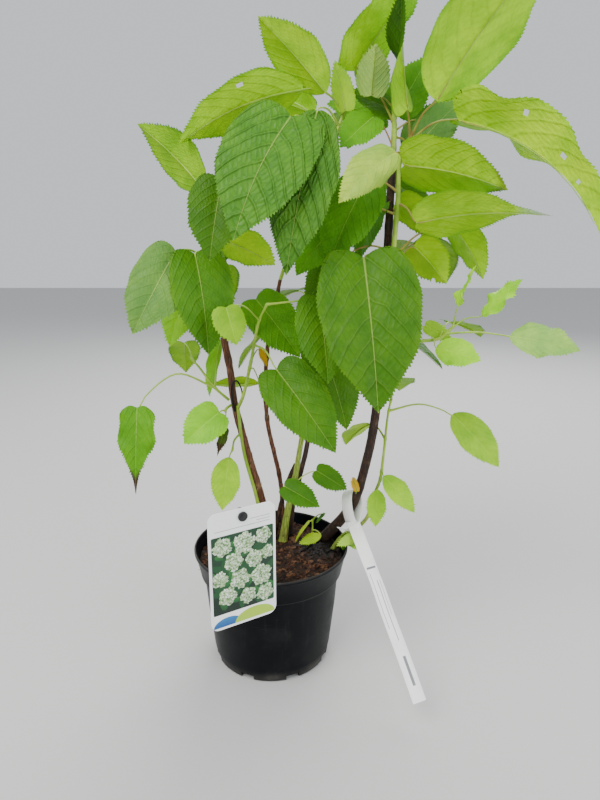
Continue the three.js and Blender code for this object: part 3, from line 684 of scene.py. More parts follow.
def buildBarkMaterial(name, low, high, pale, crack):
    material, tree = newMaterial(name)
    long = tree.stretched(tree.where, (1.0, 1.0, 0.16))
    strands = tree.noise(long, 620, 5, 0.7)
    patches = tree.noise(tree.where, 60, 4, 0.6)
    body = tree.mix(tree.range(strands, 0.32, 0.68), low, high)
    body = tree.mix(tree.times(tree.range(patches, 0.52, 0.75), 0.75), body, pale)
    cracks = tree.add("ShaderNodeTexVoronoi", {"Vector": long, "Scale": 420.0}, feature="DISTANCE_TO_EDGE")
    gaps = tree.range(cracks.outputs["Distance"], 0.1, 0.0)
    body = tree.mix(tree.times(gaps, 0.7), body, crack)
    body = tree.dyed(body, tree.tint()["Color"])
    height = tree.minus(strands, tree.times(gaps, 0.6))
    finishMaterial(tree, body, tree.range(strands, 0.3, 0.7, (0.62, 0.9)), height, 0.8, 0.0012)
    return material


def buildPotMaterial():
    material, tree = newMaterial("potPlastic")
    wear = addWear(tree, 1400.0, 26.0)
    high = tree.add("ShaderNodeSeparateXYZ", {0: tree.where}).outputs[2]
    # The top of the lip is painted paler: partly dust, partly a painted highlight along the lip
    rim = tree.range(high, 0.1272, 0.1302)
    ledge = tree.range(tree.math("ABSOLUTE", tree.minus(high, 0.101)), 0.0022, 0.0)
    foot = tree.range(high, 0.014, 0.0)
    dustAndLipHighlight = tree.plus(tree.times(rim, 0.19), tree.times(ledge, 0.1))
    dustAndLipHighlight = tree.plus(dustAndLipHighlight, tree.times(foot, 0.2))
    broken = tree.plus(0.35, tree.times(wear["Dust"], 0.9))
    dustAndLipHighlight = tree.times(dustAndLipHighlight, broken)
    dustAndLipHighlight = tree.plus(dustAndLipHighlight, tree.times(wear["Dust"], 0.02))
    streaks = tree.noise(tree.stretched(tree.where, (190, 190, 9)), 1.0, 4, 0.6)
    runs = tree.times(tree.range(streaks, 0.56, 0.74), 0.02)
    dustAndLipHighlight = tree.math("MINIMUM", tree.plus(dustAndLipHighlight, runs), 1.0)
    body = tree.mix(wear["Grain"], paint(5, 7, 10), paint(10, 13, 18))
    body = tree.mix(dustAndLipHighlight, body, paint(158, 152, 142))
    body = tree.mix(tree.times(wear["Marks"], 0.12), body, paint(72, 76, 82))
    rough = tree.plus(0.36, tree.times(dustAndLipHighlight, 0.45))
    rough = tree.plus(rough, tree.times(wear["Dust"], 0.12))
    finishMaterial(tree, body, rough, wear["Grain"], 0.25, 0.0003, Specular_IOR_Level=0.1)
    return material


def buildMixMaterial(name, low, high, pale):
    material, tree = newMaterial(name)
    crumbs = tree.noise(tree.where, 260, 6, 0.72)
    patches = tree.noise(tree.where, 130, 2)
    body = tree.mix(tree.range(crumbs, 0.34, 0.66), low, high)
    body = tree.mix(tree.times(tree.range(patches, 0.5, 0.66), 0.6), body, pale)
    middle = tree.add("ShaderNodeVectorMath", {0: tree.where, 1: (-0.058, -0.012, -0.12)}, operation="ADD")
    away = tree.add("ShaderNodeVectorMath", {0: middle.outputs[0]}, operation="LENGTH").outputs["Value"]
    wet = tree.range(tree.plus(away, tree.times(crumbs, 0.02)), 0.052, 0.026)
    body = tree.mix(tree.times(wet, 0.88), body, paint(14, 11, 9))
    rough = tree.minus(0.92, tree.times(wet, 0.42))
    finishMaterial(tree, body, rough, crumbs, 1.0, 0.003, Specular_IOR_Level=0.3)
    return material


def buildPlasticMaterial(name, colour, rough, shade, tinted=False):
    material, tree = newMaterial(name)
    wear = addWear(tree, 1100.0, 60.0)
    base = tree.tint()["Color"] if tinted else colour
    body = tree.mix(tree.times(wear["Dust"], shade), base, paint(120, 112, 100))
    body = tree.mix(tree.times(wear["Marks"], shade), body, paint(90, 86, 80))
    roughness = tree.plus(rough, tree.times(wear["Dust"], 0.2))
    finishMaterial(tree, body, roughness, wear["Grain"], 0.12, 0.0002, Specular_IOR_Level=0.5)
    return material


leafBlade = buildLeafMaterial()
stalkFinishes = {
    "green": buildStalkMaterial("stalkGreen", paint(132, 172, 40), paint(170, 200, 70), paint(156, 166, 56)),
    "red": buildStalkMaterial("stalkRed", paint(150, 160, 60), paint(160, 124, 66), paint(140, 72, 52)),
}
barkFinishes = {
    "brown": buildBarkMaterial("barkBrown", paint(84, 44, 28), paint(132, 82, 54), paint(166, 130, 92),
                               paint(34, 20, 13)),
    "dark": buildBarkMaterial("barkDark", paint(34, 21, 16), paint(76, 48, 34), paint(112, 84, 62),
                              paint(14, 9, 7)),
    "green": buildBarkMaterial("shootGreen", paint(124, 148, 44), paint(160, 178, 70), paint(170, 156, 80),
                               paint(104, 120, 40)),
}
potPlastic = buildPotMaterial()
mixCrumbs = buildMixMaterial("mixCrumbs", paint(14, 9, 6), paint(46, 29, 19), paint(62, 40, 26))
mixChips = buildMixMaterial("mixChips", paint(26, 15, 10), paint(76, 46, 30), paint(126, 86, 58))
labelPlastic = buildPlasticMaterial("labelPlastic", paint(250, 250, 248), 0.26, 0.05)
labelInk = buildPlasticMaterial("labelInk", paint(240, 240, 238), 0.28, 0.06, True)
stakePlastic = buildPlasticMaterial("stakePlastic", paint(20, 21, 24), 0.34, 0.1)
strapPlastic = buildPlasticMaterial("strapPlastic", paint(250, 250, 247), 0.4, 0.06)
print("materials made")


# Blade: outlines as points along it, out from the midrib, and where on the midrib each is joined
bladeBuild = {"tapered": [(0, 0, 0), (0.01, 0.1, 0.01), (0.08, 0.27, 0.1), (0.22, 0.42, 0.22),
                          (0.44, 0.49, 0.42), (0.68, 0.37, 0.66), (0.88, 0.14, 0.87), (1, 0, 1)],
              "margin": [(0, 0, 0), (-0.045, 0.13, 0), (-0.04, 0.31, 0.06), (0.1, 0.45, 0.16),
                         (0.34, 0.49, 0.36), (0.62, 0.4, 0.62), (0.86, 0.16, 0.86), (1, 0, 1)],
              "tailed": [(0, 0, 0), (-0.02, 0.2, 0.01), (0.06, 0.39, 0.08), (0.24, 0.49, 0.24),
                         (0.44, 0.43, 0.43), (0.6, 0.25, 0.59), (0.72, 0.11, 0.71), (0.86, 0.045, 0.86),
                         (1, 0, 1)],
              "thickness": 0.45, "rowLength": 1.35, "rowCounts": (28, 118), "columns": 7,
              "toothDepth": 1.5, "toothLean": 1.5, "rib": (0.62, 0.16), "fullRelief": 2.5,
              "quilt": 0.008, "narrow": 0.6, "groove": 0.008, "shade": (0.9, 0.2), "warm": (0.94, 0.14),
              "edgePale": 0.12, "paleFrom": 0.72}
bladeGrids = {}


def bladeGrid(rows, outline):
    if (rows, outline) not in bladeGrids:
        k = bladeBuild["columns"]
        inner = np.array(evenPoints(bladeBuild[outline], rows))[1:-1]
        share = np.abs(np.arange(-k, k + 1)) / k
        run = inner[:, 2:3] * (1 - share) + inner[:, 0:1] * share
        out = inner[:, 1:2] * share * np.sign(np.arange(-k, k + 1))
        wide = 2 * k + 1
        upper = np.arange((rows - 1) * wide).reshape(rows - 1, wide)
        lower = upper.copy()
        lower[:, 1:-1] = upper.size + np.arange((rows - 1) * (wide - 2)).reshape(rows - 1, wide - 2)
        heel = upper.size + (rows - 1) * (wide - 2)
        bladeGrids[rows, outline] = (run, out, np.broadcast_to(share, run.shape), upper, lower, heel,
                                     heel + 1)
    return bladeGrids[rows, outline]


def bladeFaces(run, out, upper, lower, heel, tip, holes):
    rows, wide = upper.shape
    gone = np.zeros((rows - 1, wide - 1), bool)
    for where, side, size in holes:
        middleRun = (run[:-1, :-1] + run[1:, 1:]) / 2
        middleOut = (out[:-1, :-1] + out[1:, 1:]) / 2
        gone |= (middleRun - where) ** 2 + (middleOut - side) ** 2 < size**2
    faces = []
    for i in range(rows - 1):
        for j in range(wide - 1):
            if not gone[i, j]:
                faces.append((upper[i, j], upper[i + 1, j], upper[i + 1, j + 1], upper[i, j + 1]))
                faces.append((lower[i, j], lower[i, j + 1], lower[i + 1, j + 1], lower[i + 1, j]))
    walls = ((-1, 0, (0, 1), (0, 0)), (1, 0, (1, 0), (1, 1)), (0, -1, (0, 0), (1, 0)), (0, 1, (1, 1), (0, 1)))
    for i, j in zip(*np.nonzero(gone)):
        for down, along, start, end in walls:
            near = 0 <= i + down < rows - 1 and 0 <= j + along < wide - 1
            if near and not gone[i + down, j + along]:
                first, second = (i + start[0], j + start[1]), (i + end[0], j + end[1])
                faces.append(tuple(dict.fromkeys((upper[first], upper[second], lower[second], lower[first]))))
    for j in range(wide - 1):
        faces.append((heel, upper[0, j], upper[0, j + 1]))
        faces.append((heel, lower[0, j + 1], lower[0, j]))
        faces.append((tip, upper[-1, j + 1], upper[-1, j]))
        faces.append((tip, lower[-1, j], lower[-1, j + 1]))
    return [tuple(int(corner) for corner in face) for face in faces if len(face) > 2]


# The place of a point of a blade, given along it, out from its midrib and off its surface
def bladePlacer(leaf):
    long, wide, extras = leaf["long"], leaf["wide"], leaf["extras"]
    along = direction(leaf["heading"], leaf["dip"])
    roll = leaf["roll"] + extras["turn"]
    over = turned(direction(leaf["heading"], leaf["dip"] + 90), along, math.radians(roll))
    across = np.cross(along, over)
    bend = math.radians(leaf["curl"])
    reach = long / bend
    fold = math.radians(extras["fold"])
    twist = math.radians(extras["twist"])
    sway = extras["sway"] * long
    cross = extras["cross"]

    def placed(run, out, lift):
        run, out, lift = np.asarray(run, float), np.asarray(out, float), np.asarray(lift, float)
        angle = bend / 2 - bend * run
        normal = np.cos(angle)[..., None] * over - np.sin(angle)[..., None] * along
        sideways = np.broadcast_to(across, normal.shape)
        turn = (twist * np.clip(run, 0, 1) ** 1.3)[..., None]
        sideways, normal = (sideways * np.cos(turn) + normal * np.sin(turn),
                            normal * np.cos(turn) - sideways * np.sin(turn))
        rolling = np.where(out < 0, cross[0], cross[1]) * 2 + 1e-4
        rolled = np.sin(rolling * out) / rolling * wide
        drop = (1 - np.cos(rolling * out)) / rolling * wide
        spine = (leaf["base"] + (reach * (math.sin(bend / 2) - np.sin(angle)))[..., None] * along
                 + (reach * (np.cos(angle) - math.cos(bend / 2)))[..., None] * over
                 + (sway * np.sin(math.pi * np.clip(run, 0, 1)))[..., None] * across)
        return (spine + (rolled * math.cos(fold))[..., None] * sideways
                + (np.abs(out) * wide * math.sin(fold) - drop + lift)[..., None] * normal)

    return placed


def mixed(low, high, share):
    return low * (1 - share) + np.array(high) * share


def addBlade(gathered, leaf, numbers):
    long, wide, extras = leaf["long"], leaf["wide"], leaf["extras"]
    tone = tones[leaf["tone"]]
    fewest, most = bladeBuild["rowCounts"]
    rows = int(np.clip(long * 1.15 / bladeBuild["rowLength"], fewest, most)) // 2 * 2
    usual = "tapered" if wide < bladeBuild["narrow"] * long else "margin"
    outline = extras.get("outline", usual)
    run, out, share, upper, lower, heel, tip = bladeGrid(rows, outline)
    phase = [next(numbers) for _ in range(5)]
    side = np.sign(out)
    swing = np.where(side < 0, phase[0], phase[1])
    notches = np.sin(2 * math.pi * (run * (2.3 + phase[2]) + swing * 5))
    ragged = 1 + extras["ragged"] * 0.2 * share**2 * notches
    run, out = run.copy(), out * ragged
    odd = np.arange(1, rows) % 2
    for column in (0, -1):
        size = np.array([0.45 + next(numbers) for _ in odd]) * np.minimum(1, np.abs(out[:, column]) / 0.12)
        run[:, column] += odd * size * bladeBuild["toothLean"] / long
        deep = size * bladeBuild["toothDepth"] / wide
        out[:, column] *= 1 + (odd - 0.35) * deep / np.maximum(np.abs(out[:, column]), 0.05)
    span = np.abs(out)
    wave = extras["wave"] * long
    ruffle = np.sin(2 * math.pi * (run * (1.5 + phase[4]) + swing * 3))
    ruffle = ruffle + 0.45 * np.sin(2 * math.pi * (run * (3.6 + phase[3]) + swing * 7))
    lift = wave * ruffle * (span / 0.48) ** 2 - bladeBuild["groove"] * long * np.exp(-((span / 0.05) ** 2))
    half = bladeBuild["thickness"] / 2 * (1 - 0.5 * np.clip(run, 0, 1)) * (1 - share**3)

    placed = bladePlacer(leaf)
    top = placed(run, out, lift + half).reshape(-1, 3)
    under = placed(run, out, lift - half)[:, 1:-1].reshape(-1, 3)
    places = np.concatenate([top, under, [placed(0, 0, 0), placed(1, 0, 0)]])
    flatTop = np.stack([0.5 + out, (run + mapFoot) / (1 + mapFoot)], -1)
    flatEnds = [[0.5, mapFoot / (1 + mapFoot)], [0.5, 1]]
    flat = np.concatenate([flatTop.reshape(-1, 2), flatTop[:, 1:-1].reshape(-1, 2), flatEnds])

    shade, warm = (low + more * next(numbers) for low, more in (bladeBuild["shade"], bladeBuild["warm"]))
    topColour = np.array(paint(*tone["top"])) * (shade * warm, shade, shade * 0.95)
    underColour = np.array(paint(*tone["under"])) * (shade * warm, shade, shade)
    for extra, dye in (("greener", (120, 168, 0)), ("dry", (70, 66, 30))):
        if extra in extras:
            topColour = mixed(topColour, paint(*dye), extras[extra])
            underColour = mixed(underColour, paint(*dye), extras[extra])
    tints = np.ones((len(places), 4))
    tints[:len(top), :3] = topColour
    # Underside colour: paler, with painted light for the glow through the blade
    tints[len(top):, :3] = underColour
    # The margin takes a little of the underside colour: a paler rim, partly painted light through the thin
    # edge
    tints[:len(top), :3][(share == 1).ravel()] = mixed(topColour, underColour, bladeBuild["edgePale"])
    runs = np.concatenate([run.ravel(), run[:, 1:-1].ravel(), [0, 1]])
    edge = np.concatenate([share.ravel(), share[:, 1:-1].ravel(), [0, 1]])
    if "brown" in extras:
        past = runs - extras["brownFrom"] + 0.1 * edge**3
        dry = np.clip(past / 0.08, 0, 1)[:, None] * extras["brown"]
        tints[:, :3] = mixed(tints[:, :3], paint(62, 46, 28), dry)
    if "paleTip" in extras:
        bleached = np.clip((runs - bladeBuild["paleFrom"]) / 0.2, 0, 1)[:, None] * extras["paleTip"]
        tints[:, :3] = mixed(tints[:, :3], paint(186, 196, 172), bleached)
    quilt = tone.get("quilt", bladeBuild["quilt"]) * extras["quilt"]
    tints[:, 3] = quilt * long / bladeBuild["fullRelief"]
    gathered.add(places, bladeFaces(run, out, upper, lower, heel, tip, extras["holes"]), flat, tints)


leafPieces = {
    "leavesLeft": ["foliage_left", "foliage_left_low", "foliage_stalk",
                   "leaf_left_small", "leaf_left_hanging"],
    "leavesUpperLeft": ["foliage_upper_left", "foliage_centre"],
    "leavesRight": ["foliage_right", "foliage_top"],
    "leavesBack": ["foliage_back"],
    "leavesLow": ["foliage_right_low", "foliage_low", "leaf_centre_low", "leaf_basal", "leaf_rim"],
}
numbers = numbersFrom(97)
for name, members in leafPieces.items():
    gathered = Gathered()
    for member in members:
        for leaf in masses[member]["grown"]:
            addBlade(gathered, leaf, numbers)
    piece = gathered.toObject(name, leafBlade)
    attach(piece, "root")
    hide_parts(*members)
    print(name, "made:", sum(len(face.vertices) - 2 for face in piece.data.polygons), "triangles")


# Geometry Nodes helpers
def newGeometryTree(name, inputs):
    group = bpy.data.node_groups.new(name, "GeometryNodeTree")
    group.interface.new_socket("Geometry", in_out="INPUT", socket_type="NodeSocketGeometry")
    kinds = {int: "NodeSocketInt", float: "NodeSocketFloat", bpy.types.Object: "NodeSocketObject"}
    for key, value in inputs.items():
        kind = bpy.types.Object if isinstance(value, bpy.types.Object) else type(value)
        socket = group.interface.new_socket(key, in_out="INPUT", socket_type=kinds[kind])
        if kind is not bpy.types.Object:
            socket.default_value = value
    group.interface.new_socket("Geometry", in_out="OUTPUT", socket_type="NodeSocketGeometry")
    tree = Tree(group)
    tree.start = tree.add("NodeGroupInput")
    return group, tree


def endGeometryTree(tree, geometry, material, smooth=True):
    whole = tree.add("GeometryNodeRealizeInstances", {"Geometry": geometry})
    soft = tree.add("GeometryNodeSetShadeSmooth", {"Geometry": whole, "Shade Smooth": smooth})
    painted = tree.add("GeometryNodeSetMaterial", {"Geometry": soft, "Material": material})
    tree.add("NodeGroupOutput", {0: painted})


def bakedMesh(piece):
    bpy.context.view_layer.update()
    return bpy.data.meshes.new_from_object(piece.evaluated_get(bpy.context.evaluated_depsgraph_get()))


# Runs a tree on an object with the given input values, and leaves a plain mesh in its place
def grownMesh(carrier, group, values, name):
    modifier = carrier.modifiers.new("rule", "NODES")
    modifier.node_group = group
    for item in group.interface.items_tree:
        if item.item_type == "SOCKET" and item.in_out == "INPUT" and item.name in values:
            modifier[item.identifier] = values[item.name]
    mesh = bakedMesh(carrier)
    mesh.name = name
    carrier.modifiers.remove(modifier)
    bpy.data.objects.remove(carrier)
    return newObject(name, mesh)


# Stems and stalks: round sections swept along their routes
stalkBuild = {"sides": 9, "steps": 14, "stemSteps": 40, "baseSwell": 0.55,
              "knotSwell": 0.45, "knotLong": 2.5, "strandThick": (2.1, 0.4),
              "strand": [(-9, 17, 118.4), (-15.5, 13, 173), (-29, 7.5, 235), (-34, 4, 287)],
              "ribRuns": (0.04, 0.12, 0.22, 0.34, 0.46, 0.58, 0.7, 0.82, 0.92)}


def buildStalkTree(material):
    group, tree = newGeometryTree("stalkTubes", {"Sides": 9, "Thickness": 1.0})
    ring = tree.add("GeometryNodeCurvePrimitiveCircle",
                    {"Resolution": tree.start.outputs["Sides"], "Radius": 1.0})
    radius = tree.add("GeometryNodeInputRadius").outputs[0]
    size = tree.times(radius, tree.start.outputs["Thickness"])
    tube = tree.add("GeometryNodeCurveToMesh",
                    {"Curve": tree.start.outputs["Geometry"], "Profile Curve": ring, "Scale": size,
                     "Fill Caps": True})
    endGeometryTree(tree, tube, material)
    return group


def routesObject(name, routes):
    curve = bpy.data.curves.new(name, "CURVE")
    curve.dimensions = "3D"
    for places, radii in routes:
        spline = curve.splines.new("POLY")
        spline.points.add(len(places) - 1)
        for point, place, radius in zip(spline.points, places, radii):
            point.co = (*(place * mm), 1)
            point.radius = radius * mm
    return newObject(name, curve)


def grownTubes(name, routes, material):
    values = {"Sides": stalkBuild["sides"], "Thickness": 1.0}
    return grownMesh(routesObject(name, routes), buildStalkTree(material), values, name)


def stalkRoutes(mass):
    foot, tip = mass["foot"], mass["tip"]
    steps, count = stalkBuild["stemSteps"], stalkBuild["steps"]
    ribStart, ribEnd = bladeBuild["rib"]
    stem = evenPoints(mass["route"], steps)
    knots = [leaf["root"][2] for leaf in mass["grown"]]
    radii = []
    for k, place in enumerate(stem):
        swell = max([math.exp(-(((place[2] - knot) / stalkBuild["knotLong"]) ** 2)) for knot in knots] or [0])
        radii.append(foot + (tip - foot) * k / steps + stalkBuild["knotSwell"] * swell)
    stems, routes, ribRoutes = [(stem, radii)], [], []
    for leaf in mass["grown"]:
        placed = bladePlacer(leaf)
        bladeFoot = leaf["base"] + (leaf["stalkRoute"][3] - leaf["base"]) * 0.3
        free = evenPoints([*leaf["stalkRoute"][:3], bladeFoot], count + 2)[:count]
        ribs = [placed(run, 0, -ribEnd * 2.4 - 0.012 * leaf["long"]) for run in stalkBuild["ribRuns"]]
        thick = growth["stalkRadius"] * (0.75 if leaf["long"] < 60 else 1.0)
        widths = [thick * (1 - 0.4 * k / count) + stalkBuild["baseSwell"] * math.exp(-k * 0.9)
                  for k in range(count)]
        thin = [thick * (ribStart + (ribEnd - ribStart) * run) for run in stalkBuild["ribRuns"]]
        routes.append((free + ribs[:2], widths + thin[:2]))
        ribRoutes.append((ribs, thin))
    return stems, routes, ribRoutes


for finish in ("green", "red"):
    routes = []
    for mass in masses.values():
        stems, stalks, ribs = stalkRoutes(mass)
        if mass.get("stalk", "green") == finish:
            routes += stalks
        if finish == "green":
            routes += stems + ribs
    if finish == "green":
        strand = evenPoints(stalkBuild["strand"], stalkBuild["stemSteps"])
        thick, thinner = stalkBuild["strandThick"]
        routes.append((strand, [thick - thinner * k / len(strand) for k in range(len(strand))]))
    name = {"green": "stalksGreen", "red": "stalksRed"}[finish]
    piece = grownTubes(name, routes, stalkFinishes[finish])
    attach(piece, "root")
    print(name, "made:", len(piece.data.polygons), "faces")


# A dead, hooked stalk left on the left cane
hookBuild = {"route": [(-37, 4, 281), (-39.5, 1, 300), (-38.5, 0, 311), (-34, -1, 315.5), (-29.5, -1, 308),
                       (-28, 0, 299)],
             "radius": (1.2, 0.7), "steps": 30}
line = evenPoints(hookBuild["route"], hookBuild["steps"])
low, high = hookBuild["radius"]
radii = [low + (high - low) * k / hookBuild["steps"] for k in range(len(line))]
piece = grownTubes("dryHook", [(line, radii)], barkFinishes["dark"])
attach(piece, "root")

# Canes with bark relief: ridges along them, and swollen joints that are darker
caneBuild = {"sides": 30, "ringEvery": 1.6, "ridge": 0.42, "jointEvery": 71, "jointFrom": 26,
             "jointSwell": 0.5, "jointLong": 4.5, "measureSteps": 60, "shootRelief": 0.35,
             "flare": 0.25, "flareFrom": 4}


def addCane(gathered, cane, seed):
    line = evenPoints(cane["route"], caneBuild["measureSteps"])
    length = sum(np.linalg.norm(b - a) for a, b in zip(line, line[1:]))
    steps = int(length / caneBuild["ringEvery"])
    line = evenPoints(cane["route"], steps)
    sides = caneBuild["sides"]
    relief = caneBuild["shootRelief"] if cane["bark"] == "green" else 1.0
    flare = caneBuild["flare"] if cane["foot"] > caneBuild["flareFrom"] else 0
    side = np.array([1.0, 0.0, 0.0])
    places, flat, tints = [], [], []
    for k, middle in enumerate(line):
        t = k / steps
        ahead = aheadAt(line, k)
        side = unit(side - ahead * (side @ ahead))
        other = np.cross(ahead, side)
        base = (cane["foot"] + (cane["tip"] - cane["foot"]) * t) * (1 + flare * math.exp(-12 * t))
        run = t * length
        offJoint = ((run + seed * 9) % caneBuild["jointEvery"]) - caneBuild["jointFrom"]
        joint = math.exp(-(offJoint / caneBuild["jointLong"]) ** 2)
        for n in range(sides):
            angle = 2 * math.pi * n / sides
            around = Vector((math.cos(angle) * 2.6, math.sin(angle) * 2.6, run * 0.035 + seed))
            ridges = noise.noise(around * 1.3) * 0.6 + noise.noise(around * 3.1) * 0.4
            lumps = noise.noise(Vector((math.cos(angle), math.sin(angle), run * 0.11 + seed * 3)))
            radius = base * 0.965 + relief * caneBuild["ridge"] * (ridges + 0.5 * lumps)
            radius += caneBuild["jointSwell"] * joint * (0.5 + 0.5 * abs(math.cos(angle + seed)))
            place = middle + (side * math.cos(angle) + other * math.sin(angle)) * radius
            if k == 0:
                place = place - ahead * (place[2] - middle[2]) / ahead[2]
            places.append(place)
            flat.append((n / sides, t))
            # Colour lighter on the ridges, darker in the grooves and at the joints
            ridgeTone = 1.0 + 0.5 * ridges * relief - 0.35 * joint
            tints.append((ridgeTone, ridgeTone, ridgeTone, 1))
    faces = []
    for k in range(steps):
        faces += wallFaces(k * sides, (k + 1) * sides, sides)
    top = len(places)
    places += [line[-1] + ahead * 0.2, line[0]]
    flat += [(0.5, 1), (0.5, 0)]
    tints += [(0.5, 0.45, 0.4, 1), (1, 1, 1, 1)]
    for n in range(sides):
        faces.append((steps * sides + n, steps * sides + (n + 1) % sides, top))
        faces.append((n, top + 1, (n + 1) % sides))
    gathered.add(np.array(places), faces, np.array(flat), np.array(tints))


canePieces = {"canesBrown": ("brown", "bark_brown"), "canesDark": ("dark", "bark_dark"),
              "shoots": ("green", "shoot_green")}
madeCanes = {}
for pieceName, (bark, slotName) in canePieces.items():
    gathered = Gathered()
    members = [name for name, cane in canes.items() if cane["bark"] == bark]
    for seed, name in enumerate(members):
        addCane(gathered, canes[name], seed + 1.7)
    piece = gathered.toObject(pieceName, barkFinishes[bark])
    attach(piece, "root")
    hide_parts(*members)
    madeCanes[pieceName] = piece
print("canes made")


def hiddenShape(name, places, faces):
    mesh = bpy.data.meshes.new(name)
    mesh.from_pydata([tuple(c * mm for c in place) for place in places], [], faces)
    return newObject(name, mesh)


# Scatters copies of a small shape over a surface
def buildScatterTree(name, shape, material, upright, smooth):
    inputs = {"Shape": shape, "Density": 1000.0, "Least Gap": 0.002, "Smallest": 0.6, "Largest": 1.4,
              "Tilt": 0.4, "Seed": 1}
    group, tree = newGeometryTree(name, inputs)
    start = tree.start.outputs
    spots = tree.add("GeometryNodeDistributePointsOnFaces",
                     {"Mesh": start["Geometry"], "Distance Min": start["Least Gap"],
                      "Density Max": start["Density"], "Seed": start["Seed"]}, distribute_method="POISSON")
    source = tree.add("GeometryNodeObjectInfo", {"Object": start["Shape"]})
    size = tree.add("FunctionNodeRandomValue", {"Seed": start["Seed"]}, data_type="FLOAT")
    for key, socket in (("Min_001", "Smallest"), ("Max_001", "Largest")):
        tree.link(start[socket], next(item for item in size.inputs if item.identifier == key))
    sizeOut = next(item for item in size.outputs if item.identifier == "Value_001")
    back = tree.times(start["Tilt"], -1.0)
    least = tree.add("ShaderNodeCombineXYZ", {0: back, 1: back, 2: -math.pi * upright})
    most = tree.add("ShaderNodeCombineXYZ", {0: start["Tilt"], 1: start["Tilt"], 2: math.pi * upright})
    tilt = tree.add("FunctionNodeRandomValue", {"Min": least, "Max": most, "Seed": start["Seed"]},
                    data_type="FLOAT_VECTOR")
    turn = tree.add("FunctionNodeRotateRotation",
                    {"Rotation": spots.outputs["Rotation"], "Rotate By": tilt.outputs[0]},
                    rotation_space="LOCAL")
    copies = tree.add("GeometryNodeInstanceOnPoints",
                      {"Points": spots.outputs["Points"], "Instance": source.outputs["Geometry"],
                       "Rotation": turn, "Scale": sizeOut})
    endGeometryTree(tree, copies, material, smooth)
    return group


def scattered(name, carrier, shape, material, values, upright=1, smooth=False):
    group = buildScatterTree(name, shape, material, upright, smooth)
    piece = grownMesh(carrier, group, {**values, "Shape": shape}, name)
    bpy.data.objects.remove(shape)
    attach(piece, "root")
    print(name, "made:", len(piece.data.polygons), "faces")
    return piece


# Pot: a turned wall with a stepped band and a rolled lip, and slots through the edge of its foot
potBuild = {"height": 130, "lip": 85, "foot": 64, "wall": 1.8, "band": 28, "step": 3.6, "taper": 6.5,
            "sides": 160, "slots": 8, "slot": (12, 15, 7), "sharp": 38}


def buildPot():
    height, lip, foot, wall = (potBuild[key] for key in ("height", "lip", "foot", "wall"))
    bandFoot = height - potBuild["band"]
    band = lip - potBuild["taper"]
    neck = band - potBuild["step"]
    outer = [(0, 1.2), (30, 1.2), (foot - 9, 1.2), (foot - 8, 0), (foot - 2, 0), (foot - 0.8, 0.4),
             (foot, 1.6), (foot + 1.2, 12), (foot + 1.9, 12.6), (neck - 3.4, 62),
             (neck - 0.6, bandFoot - 6), (neck, bandFoot - 2.4), (neck + 0.5, bandFoot - 1.6),
             (band - 0.7, bandFoot - 0.9), (band, bandFoot), (band + 0.1, bandFoot + 1.2),
             (lip - 1.7, height - 5), (lip - 1.2, height - 4.4), (lip - 0.3, height - 3.6),
             (lip, height - 2.6), (lip, height - 0.9), (lip - 0.3, height - 0.3), (lip - 0.8, height)]
    inner = [(lip - 1.5, height - 0.1), (lip - wall, height - 0.7), (lip - wall - 0.4, height - 4),
             (band - wall, bandFoot + 1), (neck - wall, bandFoot - 3), (foot - wall, 2.6), (0, 2.6)]
    profile = outer + inner
    sides = potBuild["sides"]
    places, faces, starts = [], [], []
    for radius, level in profile:
        starts.append(len(places))
        places += ringOf(radius, level, sides) if radius else [(0, 0, level)]
    for k in range(len(profile) - 1):
        a, b = starts[k], starts[k + 1]
        if not profile[k][0]:
            faces += [(a, b + (n + 1) % sides, b + n) for n in range(sides)]
        elif not profile[k + 1][0]:
            faces += [(a + n, a + (n + 1) % sides, b) for n in range(sides)]
        else:
            faces += wallFaces(a, b, sides)
    pot = hiddenShape("potShell", places, faces)
    cutters = []
    long, across, high = potBuild["slot"]
    for n in range(potBuild["slots"]):
        angle = math.radians((n + 0.5) * 360 / potBuild["slots"])
        corners = []
        for x in (-long / 2, long / 2):
            for y in (-across / 2, across / 2):
                for z in (-0.5, high - 0.5):
                    corners.append((*spun(foot - 2 + x, y, angle), z))
        cutters.append(corners)
    boxFaces = [(0, 1, 3, 2), (4, 6, 7, 5), (0, 4, 5, 1), (2, 3, 7, 6), (0, 2, 6, 4), (1, 5, 7, 3)]
    cutter = hiddenShape("potSlots", [c for corners in cutters for c in corners],
                         [tuple(8 * k + c for c in face) for k in range(len(cutters)) for face in boxFaces])
    modifier = pot.modifiers.new("slots", "BOOLEAN")
    modifier.operation = "DIFFERENCE"
    modifier.object = cutter
    modifier.solver = "EXACT"
    mesh = bakedMesh(pot)
    bpy.data.objects.remove(cutter)
    bpy.data.objects.remove(pot)
    mesh.name = "potShell"
    mesh.materials.clear()
    mesh.materials.append(potPlastic)
    soften(mesh, potBuild["sharp"])
    piece = newObject("potShell", mesh)
    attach(piece, "root")
    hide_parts("pot")


buildPot()
print("pot made")

# Potting mix: an uneven crumbly surface, with bark chips and fibres lying on it
mixBuild = {"radius": 79.2, "rings": 64, "sides": 150, "sink": 0.6, "relief": 2.2, "spread": 0.035,
            "bumps": ((1, 1.3), (3.3, 0.7), (9, 0.45)), "edge": (62, 17, 1.2),
            "wall": ((75, 106), (70.5, 99), (61, 3))}


def mixHeight(x, y):
    place = Vector((x * mixBuild["spread"], y * mixBuild["spread"], 3.1))
    bumps = sum(noise.noise(place * finer) * size for finer, size in mixBuild["bumps"])
    start, wide, drop = mixBuild["edge"]
    edge = max(0, (math.hypot(x, y) - start) / wide)
    return soilLevel - mixBuild["sink"] + mixBuild["relief"] * bumps - drop * edge**2


